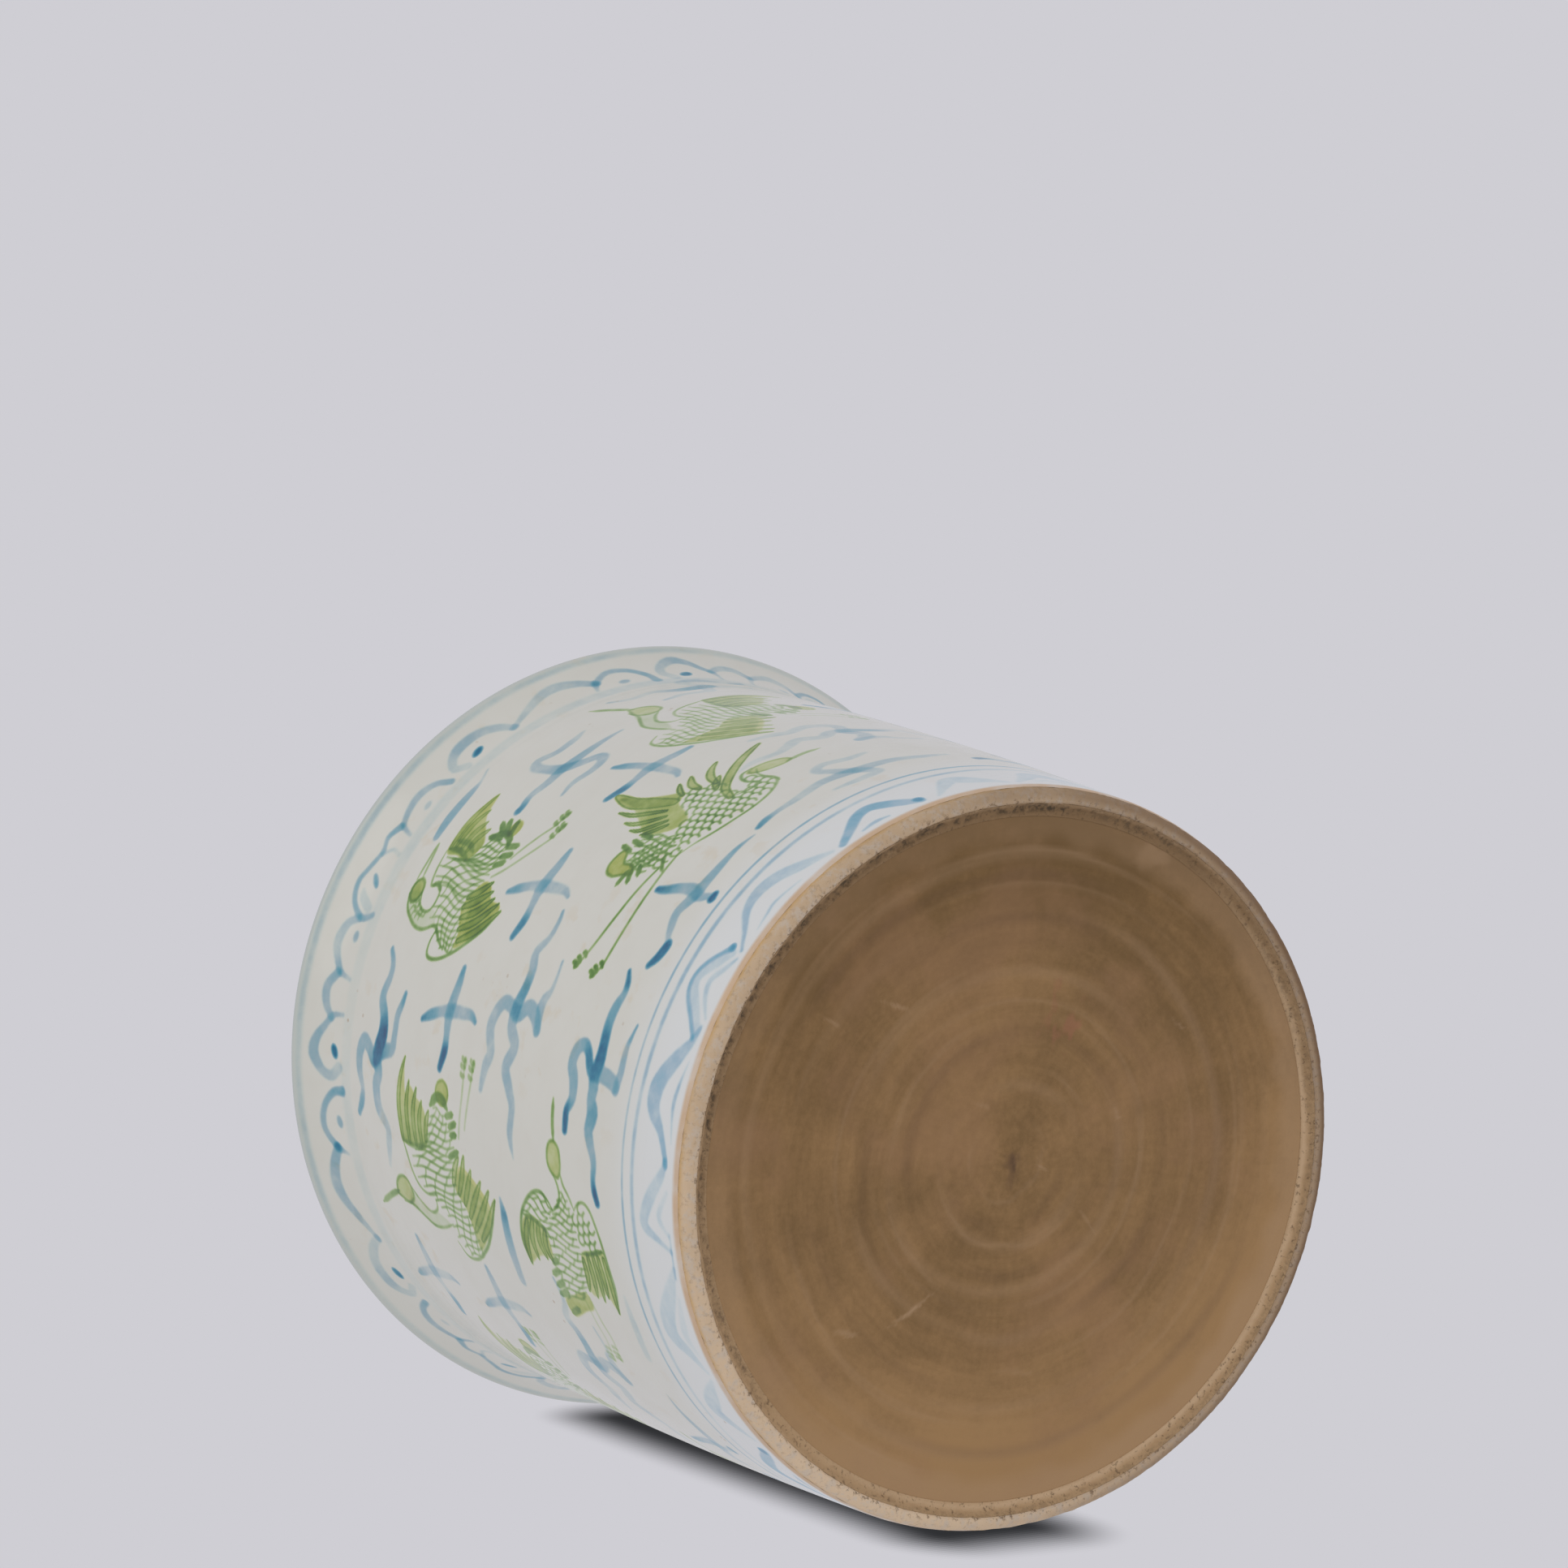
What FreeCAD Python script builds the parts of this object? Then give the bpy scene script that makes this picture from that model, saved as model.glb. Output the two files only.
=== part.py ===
import FreeCAD, Part
import os
import Sketcher
from FreeCAD import Vector

# A porcelain brush pot standing upright. +Z runs up its axis and the origin is the
# centre of the foot's resting plane. Every piece is turned about Z, as on the wheel.

# Plain sizes in millimetres (flare_angle in degrees).
SIZES = {
    "height": 175,
    "rim_radius": 94.1,
    "lip_round": 2.1,
    "flare_angle": 37.6,
    "neck_radius": 87,
    "neck_height": 152,
    "flare_mid_radius": 88.72,
    "flare_mid_height": 162.4,
    "foot_radius": 80,
    "foot_flat_radius": 77.8,
    "foot_inner_radius": 76.3,
    "foot_bevel_radius": 79.1,
    "foot_bevel_height": 0.8,
    "glaze": 0.4,
    "glaze_line_height": 2.6,
    "glaze_full_height": 3.2,
    "outer_bulge": 1.1,
    "inner_neck_radius": 81.6,
    "inner_neck_height": 151,
    "inner_flare_mid_radius": 83.83,
    "inner_flare_mid_height": 163.4,
    "inner_bulge": 1,
    "floor_height": 8.6,
    "coil_round": 7,
    "disc_radius": 73.6,
    "disc_edge_height": 1.7,
    "disc_dish_radius": 40,
    "disc_dish_height": 3.1,
    "disc_centre_height": 3.5,
    "nub_radius": 4,
    "nub_height": 0.6,
    "seam_hollow_radius": 74.9,
    "seam_hollow_height": 1.6,
    "seam_foot_height": 0.6,
    "ring_half_width": 1.5,
    "ring_depth": 0.3,
}

# Radii of the turning rings on the underside.
RINGS = {"near": 15, "mid": 37, "far": 51}

# Sizes that follow from the plain ones.
DERIVED = {
    "lip_radius": "=rim_radius - lip_round",
    "lip_height": "=height - lip_round",
    "clay_round": "=lip_round - glaze",
    "clay_height": "=height - glaze",
    "flare_out": "=cos(flare_angle)",
    "flare_up": "=sin(flare_angle)",
    "diagonal": "=sqrt(0.5)",
    # outside of the glaze
    "flare_end_radius": "=lip_radius + lip_round * flare_out",
    "flare_end_height": "=lip_height - lip_round * flare_up",
    "lip_out_radius": "=lip_radius + lip_round * diagonal",
    "lip_out_height": "=lip_height + lip_round * diagonal",
    "outer_mid_radius": "=(foot_radius + neck_radius) / 2 + outer_bulge",
    "outer_mid_height": "=(glaze_full_height + neck_height) / 2",
    # outside of the clay
    "clay_foot_radius": "=foot_radius - glaze",
    "clay_outer_mid_radius": "=outer_mid_radius - glaze",
    "clay_neck_radius": "=neck_radius - glaze",
    "clay_flare_mid_radius": "=flare_mid_radius - glaze",
    "clay_flare_end_radius": "=lip_radius + clay_round * flare_out",
    "clay_flare_end_height": "=lip_height - clay_round * flare_up",
    "clay_lip_out_radius": "=lip_radius + clay_round * diagonal",
    "clay_lip_out_height": "=lip_height + clay_round * diagonal",
    # inside of the glaze
    "throat_radius": "=lip_radius - lip_round * flare_out",
    "throat_height": "=lip_height + lip_round * flare_up",
    "lip_in_radius": "=lip_radius - lip_round * flare_up",
    "lip_in_height": "=lip_height + lip_round * flare_out",
    "well_radius": "=foot_inner_radius - glaze",
    "inner_mid_radius": "=(well_radius + inner_neck_radius) / 2 + inner_bulge",
    "coil_height": "=floor_height + coil_round",
    "coil_centre_radius": "=foot_inner_radius - coil_round",
    "inner_mid_height": "=(coil_height + inner_neck_height) / 2",
    "coil_glaze_mid_radius": "=coil_centre_radius + (coil_round - glaze) * diagonal",
    "coil_glaze_mid_height": "=coil_height - (coil_round - glaze) * diagonal",
    "floor_glaze_height": "=floor_height + glaze",
    # inside of the clay
    "clay_throat_radius": "=lip_radius - clay_round * flare_out",
    "clay_throat_height": "=lip_height + clay_round * flare_up",
    "clay_lip_in_radius": "=lip_radius - clay_round * flare_up",
    "clay_lip_in_height": "=lip_height + clay_round * flare_out",
    "clay_inner_flare_mid_radius": "=inner_flare_mid_radius + glaze",
    "clay_inner_neck_radius": "=inner_neck_radius + glaze",
    "clay_inner_mid_radius": "=inner_mid_radius + glaze",
    "coil_mid_radius": "=coil_centre_radius + coil_round * diagonal",
    "coil_mid_height": "=coil_height - coil_round * diagonal",
    # underside of the base disc
    "nub_tip_height": "=disc_centre_height - nub_height",
    "nub_side_radius": "=nub_radius * 0.6",
    "nub_side_height": "=disc_centre_height - nub_height * 0.7",
    "ring_low_height": "=disc_edge_height - 1",
    "dish_rise": "=disc_centre_height - disc_edge_height",
}
for ring, ring_radius in RINGS.items():
    radius = f"ring_{ring}_radius"
    SIZES[radius] = ring_radius
    DERIVED[f"ring_{ring}_inner"] = f"={radius} - ring_half_width"
    DERIVED[f"ring_{ring}_outer"] = f"={radius} + ring_half_width"
    # the dish falls from its centre to its edge about as a parabola does
    fall = f"dish_rise * ({radius} / disc_radius) ^ 2"
    DERIVED[f"ring_{ring}_top"] = f"=disc_centre_height - {fall} + ring_depth"

AXIS = None  # stands for the turning axis where a radius would be
ZERO = "zero"

doc = FreeCAD.newDocument("brush_pot")
sheet = doc.addObject("Spreadsheet::Sheet", "sizes")
cells = {ZERO: 0, **SIZES, **DERIVED}
for row, (alias, content) in enumerate(cells.items(), start=1):
    sheet.set(f"A{row}", alias)
    sheet.set(f"B{row}", str(content))
    sheet.setAlias(f"B{row}", alias)
doc.recompute()


def value(alias):
    """The number in the sheet, or 0 for the turning axis."""
    return 0.0 if alias is AXIS else float(sheet.get(alias))


def point(radius, height):
    return Vector(value(radius), value(height), 0)


def origin_plane(body, role):
    return next(f for f in body.Origin.OriginFeatures if f.Role == role)


def pin(sketch, geometry, end, radius, height, name):
    """Ties one point of the sketch to two sizes in the sheet."""
    if radius is AXIS:
        sketch.addConstraint(Sketcher.Constraint("PointOnObject", geometry, end, -2))
    else:
        across = Sketcher.Constraint("DistanceX", -1, 1, geometry, end, value(radius))
        index = sketch.addConstraint(across)
        sketch.renameConstraint(index, name + "_radius")
        sketch.setExpression(f"Constraints.{name}_radius", f"sizes.{radius}")
    up = Sketcher.Constraint("DistanceY", -1, 1, geometry, end, value(height))
    index = sketch.addConstraint(up)
    sketch.renameConstraint(index, name + "_height")
    sketch.setExpression(f"Constraints.{name}_height", f"sizes.{height}")


def outline(sketch, corners, prefix="c"):
    """Draws a closed outline. Each corner is (radius, height) for a straight side to the
    next corner, or (radius, height, mid radius, mid height) for an arc through the mid."""
    ends = []
    for number, corner in enumerate(corners):
        start = point(*corner[:2])
        stop = point(*corners[(number + 1) % len(corners)][:2])
        if len(corner) == 4:
            middle = point(*corner[2:])
            side = sketch.addGeometry(Part.Arc(start, middle, stop))
            mark = sketch.addGeometry(Part.Point(middle), True)
            sketch.addConstraint(Sketcher.Constraint("PointOnObject", mark, 1, side))
            pin(sketch, mark, 1, corner[2], corner[3], f"{prefix}{number}_mid")
        else:
            side = sketch.addGeometry(Part.LineSegment(start, stop))
        first = 1 if (sketch.getPoint(side, 1) - start).Length < 1e-6 else 2
        ends.append((side, first, 3 - first))
    for number, (side, first, last) in enumerate(ends):
        before, _, before_last = ends[number - 1]
        sketch.addConstraint(Sketcher.Constraint("Coincident", before, before_last, side, first))
        pin(sketch, side, first, *corners[number][:2], f"{prefix}{number}")


def new_sketch(body, name):
    sketch = body.newObject("Sketcher::SketchObject", name)
    sketch.AttachmentSupport = [(origin_plane(body, "XZ_Plane"), "")]
    sketch.MapMode = "FlatFace"
    return sketch


def turned_body(node, corners):
    """A body of revolution about Z with the given half section."""
    body = doc.addObject("PartDesign::Body", node)
    body.Label = node
    sketch = new_sketch(body, node + "_section")
    outline(sketch, corners)
    doc.recompute()
    turn = body.newObject("PartDesign::Revolution", node + "_turn")
    turn.Profile = sketch
    turn.ReferenceAxis = (sketch, ["V_Axis"])
    turn.Angle = 360
    sketch.Visibility = False
    doc.recompute()
    return body


# The thrown wall: bevelled foot, barely swelling side, flared mouth and rounded lip.
wall = turned_body("wall", [
    ("foot_inner_radius", ZERO),
    ("foot_flat_radius", ZERO, "foot_bevel_radius", "foot_bevel_height"),
    ("clay_foot_radius", "glaze_line_height", "clay_outer_mid_radius", "outer_mid_height"),
    ("clay_neck_radius", "neck_height", "clay_flare_mid_radius", "flare_mid_height"),
    ("clay_flare_end_radius", "clay_flare_end_height", "clay_lip_out_radius", "clay_lip_out_height"),
    ("lip_radius", "clay_height", "clay_lip_in_radius", "clay_lip_in_height"),
    ("clay_throat_radius", "clay_throat_height",
     "clay_inner_flare_mid_radius", "inner_flare_mid_height"),
    ("clay_inner_neck_radius", "inner_neck_height", "clay_inner_mid_radius", "inner_mid_height"),
    ("foot_inner_radius", "coil_height"),
])

# The slab let into the foot ring: flat inside, dished below with a small nub at the centre.
base_disc = turned_body("base_disc", [
    (AXIS, "nub_tip_height", "nub_side_radius", "nub_side_height"),
    ("nub_radius", "disc_centre_height", "disc_dish_radius", "disc_dish_height"),
    ("disc_radius", "disc_edge_height"),
    ("disc_radius", "floor_height"),
    (AXIS, "floor_height"),
])

# Shallow turning rings cut into the slab's underside. Each is a groove with a round bottom.
for ring in RINGS:
    cut_sketch = new_sketch(base_disc, f"ring_{ring}_section")
    outline(cut_sketch, [
        (f"ring_{ring}_inner", "ring_low_height"),
        (f"ring_{ring}_outer", "ring_low_height", f"ring_{ring}_radius", f"ring_{ring}_top"),
    ])
    doc.recompute()
    cut = base_disc.newObject("PartDesign::Groove", f"ring_{ring}_cut")
    cut.Profile = cut_sketch
    cut.ReferenceAxis = (cut_sketch, ["V_Axis"])
    cut.Angle = 360
    cut_sketch.Visibility = False
    doc.recompute()

# The slip joint between slab and foot ring, with the clay coil smoothed over it inside.
luting_seam = turned_body("luting_seam", [
    ("disc_radius", "disc_edge_height", "seam_hollow_radius", "seam_hollow_height"),
    ("foot_inner_radius", "seam_foot_height"),
    ("foot_inner_radius", "coil_height", "coil_mid_radius", "coil_mid_height"),
    ("coil_centre_radius", "floor_height"),
    ("disc_radius", "floor_height"),
])

# The glaze outside, from just above the bare foot to the crest of the lip.
outer_glaze = turned_body("outer_glaze", [
    ("clay_foot_radius", "glaze_line_height"),
    ("foot_radius", "glaze_full_height", "outer_mid_radius", "outer_mid_height"),
    ("neck_radius", "neck_height", "flare_mid_radius", "flare_mid_height"),
    ("flare_end_radius", "flare_end_height", "lip_out_radius", "lip_out_height"),
    ("lip_radius", "height"),
    ("lip_radius", "clay_height", "clay_lip_out_radius", "clay_lip_out_height"),
    ("clay_flare_end_radius", "clay_flare_end_height", "clay_flare_mid_radius", "flare_mid_height"),
    ("clay_neck_radius", "neck_height", "clay_outer_mid_radius", "outer_mid_height"),
])

# The glaze inside, from the crest of the lip down the well and over its floor.
inner_glaze = turned_body("inner_glaze", [
    ("lip_radius", "clay_height"),
    ("lip_radius", "height", "lip_in_radius", "lip_in_height"),
    ("throat_radius", "throat_height", "inner_flare_mid_radius", "inner_flare_mid_height"),
    ("inner_neck_radius", "inner_neck_height", "inner_mid_radius", "inner_mid_height"),
    ("well_radius", "coil_height", "coil_glaze_mid_radius", "coil_glaze_mid_height"),
    ("coil_centre_radius", "floor_glaze_height"),
    (AXIS, "floor_glaze_height"),
    (AXIS, "floor_height"),
    ("coil_centre_radius", "floor_height", "coil_mid_radius", "coil_mid_height"),
    ("foot_inner_radius", "coil_height", "clay_inner_mid_radius", "inner_mid_height"),
    ("clay_inner_neck_radius", "inner_neck_height",
     "clay_inner_flare_mid_radius", "inner_flare_mid_height"),
    ("clay_throat_radius", "clay_throat_height", "clay_lip_in_radius", "clay_lip_in_height"),
])

doc.recompute()
for item in doc.Objects:
    bad = [state for state in item.State if state in ("Invalid", "Error")]
    if bad:
        raise RuntimeError(f"{item.Name}: {bad}")

os.makedirs("parts", exist_ok=True)
for body in (wall, base_disc, luting_seam, outer_glaze, inner_glaze):
    shape = body.Shape
    if shape.isNull() or not shape.isValid() or len(shape.Solids) != 1:
        raise RuntimeError(f"{body.Label}: not one valid solid")
    shape.exportStep(f"parts/{body.Label}.step")
    box = shape.optimalBoundingBox(False)
    print(f"{body.Label}: volume {shape.Volume / 1000:.1f} cm3, radius {box.XMax:.2f}, "
          f"z {box.ZMin:.2f} to {box.ZMax:.2f}")
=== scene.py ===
import math

import bpy
import numpy as np
from mathutils import Matrix, Vector
from mathutils.geometry import delaunay_2d_cdt


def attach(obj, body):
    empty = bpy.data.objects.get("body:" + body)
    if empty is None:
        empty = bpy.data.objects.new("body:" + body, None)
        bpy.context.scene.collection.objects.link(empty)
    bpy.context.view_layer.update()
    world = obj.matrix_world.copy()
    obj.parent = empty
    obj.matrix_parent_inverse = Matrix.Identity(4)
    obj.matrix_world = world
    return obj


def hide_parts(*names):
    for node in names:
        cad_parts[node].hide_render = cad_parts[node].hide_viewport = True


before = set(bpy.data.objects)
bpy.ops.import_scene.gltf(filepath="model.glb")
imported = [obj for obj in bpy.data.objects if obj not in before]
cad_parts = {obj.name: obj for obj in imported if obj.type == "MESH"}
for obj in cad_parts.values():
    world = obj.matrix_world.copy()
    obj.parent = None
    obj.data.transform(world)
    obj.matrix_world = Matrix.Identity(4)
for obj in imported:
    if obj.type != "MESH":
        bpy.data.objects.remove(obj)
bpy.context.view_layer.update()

MM = 0.001
TURN = 2 * math.pi
chance = np.random.default_rng(17)


# ---- Curves -----------------------------------------------------------------------------------

def arc(start, middle, end, step):
    """Points on the circle through three points, from start to end, not repeating the end."""
    (ax, ay), (bx, by), (cx, cy) = start, middle, end
    lines = 2 * np.array([[bx - ax, by - ay], [cx - ax, cy - ay]])
    sums = np.array([bx**2 - ax**2 + by**2 - ay**2, cx**2 - ax**2 + cy**2 - ay**2])
    ox, oy = np.linalg.solve(lines, sums)
    radius = math.hypot(ax - ox, ay - oy)
    first, via, last = (math.atan2(y - oy, x - ox) for x, y in (start, middle, end))
    sweep = (last - first) % TURN
    if (via - first) % TURN > sweep:
        sweep -= TURN
    count = max(2, round(abs(sweep) * radius / step))
    angles = first + sweep * np.arange(count) / count
    return np.stack([ox + radius * np.cos(angles), oy + radius * np.sin(angles)], 1)


def line(start, end, step):
    """Points on a straight line, not repeating the end."""
    start, end = np.array(start, float), np.array(end, float)
    count = max(1, round(np.linalg.norm(end - start) / step))
    return start + (end - start) * np.arange(count)[:, None] / count


def evenly(points, step):
    """The same line with its points an equal distance apart."""
    along = np.concatenate([[0], np.cumsum(np.linalg.norm(np.diff(points, axis=0), axis=1))])
    places = np.linspace(0, along[-1], round(along[-1] / step) + 1)
    return np.stack([np.interp(places, along, points[:, k]) for k in range(2)], 1)


SMOOTH_STEP = 0.8


def smooth(points, closed=False):
    """A Catmull-Rom line through the given points, whatever each point carries besides its place."""
    p = np.array(points, float)
    p = np.vstack([p[-1], p, p[:2]]) if closed else np.vstack([2 * p[0] - p[1], p, 2 * p[-1] - p[-2]])
    parts = []
    for a, b, c, d in zip(p, p[1:], p[2:], p[3:]):
        count = max(2, int(np.linalg.norm((c - b)[:2]) / SMOOTH_STEP))
        t = np.linspace(0, 1, count, endpoint=False)[:, None]
        parts.append(0.5 * (2 * b + (c - a) * t + (2 * a - 5 * b + 4 * c - d) * t**2
                            + (3 * b - a - 3 * c + d) * t**3))
    return np.vstack([*parts, p[-2]])


def outward_of(section):
    """The direction square to a section at each of its points."""
    slopes = np.gradient(section, axis=0)
    outward = np.stack([slopes[:, 1], -slopes[:, 0]], 1)
    return outward / np.maximum(np.linalg.norm(outward, axis=1), 1e-9)[:, None]


# ---- The outer glaze's section, in mm: radius and height ----------------------------------------

FOOT_EDGE = (79.6, 2.6)
SIDE_FOOT, SIDE_MIDDLE, SIDE_TOP = (80.0, 3.2), (84.6, 77.6), (87.0, 152.0)
FLARE_MIDDLE, FLARE_TOP = (88.72, 162.4), (93.66, 171.6)
LIP, RIM_TOP = (94.1, 172.9), (92.0, 175.0)
outside = evenly(np.vstack([
    line(FOOT_EDGE, SIDE_FOOT, 0.05),
    arc(SIDE_FOOT, SIDE_MIDDLE, SIDE_TOP, 0.3),
    arc(SIDE_TOP, FLARE_MIDDLE, FLARE_TOP, 0.1),
    arc(FLARE_TOP, LIP, RIM_TOP, 0.05),
    [RIM_TOP],
]), 0.3)

# ---- Painting -----------------------------------------------------------------------------------
# The painting is laid out flat: u runs round the pot in mm at PAINT_RADIUS, v is the height in mm.
# Each pigment is a grid of densities, 0 for bare glaze and 1 for the darkest stroke.

PAINT_RADIUS = 85.0
PAINT_START = math.radians(-70.65)
AROUND = TURN * PAINT_RADIUS
COLUMNS = 1780
CELL = AROUND / COLUMNS
ROW_HEIGHTS = outside[:, 1]
PIGMENTS = ("cobalt", "green", "yellow")
paint = {name: np.zeros((len(ROW_HEIGHTS), COLUMNS)) for name in PIGMENTS}

# How soft the edges of strokes, trails and washes are, in mm, and how strokes and trails take the brush.
STROKE_SOFT, TRAIL_SOFT, WASH_SOFT = 0.65, 1.3, 0.8
STROKE_STRENGTH = 1.15
TRAIL_WIDTH = 1.3
TRAIL_STRENGTH, TRAIL_CONTRAST = 0.74, 0.36


def window(points, margin):
    """The grid rows and columns round some points, and the place of each cell there."""
    low, high = points.min(0) - margin, points.max(0) + margin
    rows = np.flatnonzero((ROW_HEIGHTS >= low[1]) & (ROW_HEIGHTS <= high[1]))
    columns = np.arange(math.floor(low[0] / CELL), math.ceil(high[0] / CELL) + 1)
    u, v = np.meshgrid(columns * CELL, ROW_HEIGHTS[rows])
    return np.ix_(rows, columns % COLUMNS), u, v


def lay(pigment, cells, density):
    """Adds a layer of pigment over what is there."""
    paint[pigment][cells] = 1 - (1 - paint[pigment][cells]) * (1 - np.clip(density, 0, 1))


def nearest(points, u, v):
    """For each cell, the distance to a line's edge and the line's strength at the nearest point."""
    a, b = points[:-1, :, None, None], points[1:, :, None, None]
    du, dv = b[:, 0] - a[:, 0], b[:, 1] - a[:, 1]
    t = ((u - a[:, 0]) * du + (v - a[:, 1]) * dv) / np.maximum(du**2 + dv**2, 1e-9)
    t = np.clip(t, 0, 1)
    gap = np.hypot(u - a[:, 0] - t * du, v - a[:, 1] - t * dv)
    gap -= (a[:, 2] + t * (b[:, 2] - a[:, 2])) / 2
    first = gap.argmin(0)[None]
    strength = a[:, 3] + t * (b[:, 3] - a[:, 3])
    return np.take_along_axis(gap, first, 0)[0], np.take_along_axis(strength, first, 0)[0]


def within(outline, u, v):
    """Which places are inside an outline."""
    a, b = outline[:, :, None, None], np.roll(outline, -1, 0)[:, :, None, None]
    crosses = (a[:, 1] > v) != (b[:, 1] > v)
    height = np.where(b[:, 1] == a[:, 1], 1e-9, b[:, 1] - a[:, 1])
    left = u < a[:, 0] + (v - a[:, 1]) / height * (b[:, 0] - a[:, 0])
    return (crosses & left).sum(0) % 2 == 1


def ease(x):
    """0 up to 0 and 1 from 1 on, with a soft step between."""
    x = np.clip(x, 0, 1)
    return x * x * (3 - 2 * x)


def oval(centre, width, height, turn=0.0):
    """Eight points round an oval."""
    angles = np.arange(8) * math.pi / 4
    x, y = np.cos(angles) * width / 2, np.sin(angles) * height / 2
    return [(centre[0] + a * math.cos(turn) - b * math.sin(turn),
             centre[1] + a * math.sin(turn) + b * math.cos(turn)) for a, b in zip(x, y)]


def part_way(points, place):
    """The point that lies place steps along a short row of points."""
    low = int(place)
    return points[low] + (points[min(len(points) - 1, low + 1)] - points[low]) * (place % 1)


class Brush:
    """Draws motifs, each moved along and up from the place where its own points put it."""

    def __init__(self, along=0, up=0, strength=1.0):
        self.along, self.up, self.strength = along, up, strength

    def place(self, points):
        p = np.array(points, float)
        p[:, :2] += (self.along, self.up)
        return p

    def sweep(self, pigment, p, soft):
        """Lays a line of points that each carry a place, a width and a strength."""
        cells, u, v = window(p[:, :2], p[:, 2].max() / 2 + soft)
        if u.size:
            gap, strength = nearest(p, u, v)
            lay(pigment, cells, strength * ease(0.5 - gap / soft))

    def stroke(self, points, width, strength, taper=0.4):
        """A green line that narrows to taper times its width at its ends."""
        p = smooth(self.place(points))
        run = np.linspace(0, 1, len(p))
        widths = width * (taper + (1 - taper) * ease(np.minimum(run, 1 - run) * 5))
        strengths = np.full(len(p), self.strength * (STROKE_STRENGTH * strength))
        self.sweep("green", np.column_stack([p, widths, strengths]), STROKE_SOFT)

    def ring(self, outline, width, strength):
        self.stroke([*outline, outline[0]], width, strength, taper=1)

    def dabs(self, pairs, width, strength):
        """Short green strokes, each given by its tip and its root."""
        for tip, root in pairs:
            self.stroke([root, tip], width, strength, taper=0.3)

    def trail(self, points, soft=TRAIL_SOFT):
        """A cobalt stroke whose every point carries its own width and strength."""
        p = smooth(self.place(points))
        p[:, 2] *= TRAIL_WIDTH
        p[:, 3] *= TRAIL_STRENGTH + TRAIL_CONTRAST * p[:, 3]
        p[:, 2:] = np.maximum(p[:, 2:], 0.05)
        p[:, 3] *= self.strength
        self.sweep("cobalt", p, soft)

    def wash(self, pigment, outline, strength, far=None, fade=None, soft=WASH_SOFT):
        """Fills an outline. With far, the strength changes to that number from fade[0] to fade[1]."""
        p = smooth(self.place(outline), closed=True)
        cells, u, v = window(p, soft)
        gap, _ = nearest(np.column_stack([p, np.zeros((len(p), 2))]), u, v)
        cover = ease(0.5 + np.where(within(p, u, v), gap, -gap) / soft)
        if far is not None:
            a, b = self.place(fade)
            t = ((u - a[0]) * (b[0] - a[0]) + (v - a[1]) * (b[1] - a[1])) / ((b - a) ** 2).sum()
            strength = strength + (far - strength) * np.clip(t, 0, 1)
        lay(pigment, cells, self.strength * strength * cover)

    def fill(self, outline, yellow, green):
        """Yellow with a little green over it."""
        self.wash("yellow", outline, yellow)
        self.wash("green", outline, green)

    def ribs(self, top, bottom, count, rungs, strength=0.5):
        """Lines from one edge to another, joined by short rungs, as the birds' bodies are drawn."""
        parts, width, bow = 4, 0.65, 0.6
        top, bottom = (evenly(smooth(edge), 0.2) for edge in (top, bottom))
        lines = []
        for k in range(count):
            share = k / (count - 1)
            a, b = (edge[int(share * (len(edge) - 1))] for edge in (top, bottom))
            side = np.array([a[1] - b[1], b[0] - a[0]]) / max(np.linalg.norm(b - a), 1e-6)
            t = np.linspace(0, 1, parts + 1)[:, None]
            lines.append(a + (b - a) * t + side * bow * np.sin(t * TURN))
            self.stroke(lines[-1], width, strength, taper=0.6)
        for k, (a, b) in enumerate(zip(lines, lines[1:])):
            for rung in range(rungs):
                place = (rung + 0.35 + 0.5 * (k % 2)) / rungs * parts
                if place < parts - 0.2:
                    start, end = part_way(a, place), part_way(b, min(place + 0.4, parts))
                    sag = (start + end) / 2 + [0, -0.2]
                    self.stroke([start, sag, end], width * 0.9, strength * 0.9, taper=0.7)

    def scales(self, outline, pitch, turn):
        """Rows of small arcs, each row half a step over from the one before."""
        p = np.array(outline, float)
        centre, reach = p.mean(0), np.ptp(p, axis=0).max()
        across = np.array([math.cos(turn), math.sin(turn)])
        along = np.array([-across[1], across[0]])
        count = int(reach / pitch) + 1
        angles = np.linspace(-0.1 * math.pi, 1.1 * math.pi, 6)[:, None]
        bend = across * np.cos(angles) * pitch * 0.5 + along * np.sin(angles) * pitch * 0.62
        for row in range(-count, count + 1):
            for k in range(-count, count + 1):
                spot = centre + across * pitch * (k + 0.5 * (row % 2)) + along * pitch * 0.78 * row
                if within(p, *spot):
                    self.stroke(spot + bend, width=0.7, strength=0.5, taper=0.8)

    def feathers(self, rows, width, strength, yellow=0.3):
        """Broad tapering strokes, each a list of points from its root to its tip."""
        edge_soft = 0.4
        for points in rows:
            p = smooth(self.place(points))
            run = np.linspace(0, 1, len(p))
            shape = width * (0.35 + 0.65 * np.sin(np.pi * np.clip(0.12 + run * 0.88, 0, 1)) ** 0.7)
            p = np.column_stack([p, shape, np.ones(len(p))])
            cells, u, v = window(p[:, :2], width)
            gap, _ = nearest(p, u, v)
            body = ease(0.5 - gap / edge_soft)
            edge = ease(1 - np.abs(gap + 0.3) / edge_soft)
            lay("green", cells, self.strength * strength * body * (0.4 + 0.8 * edge))
            lay("yellow", cells, self.strength * yellow * body)

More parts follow.
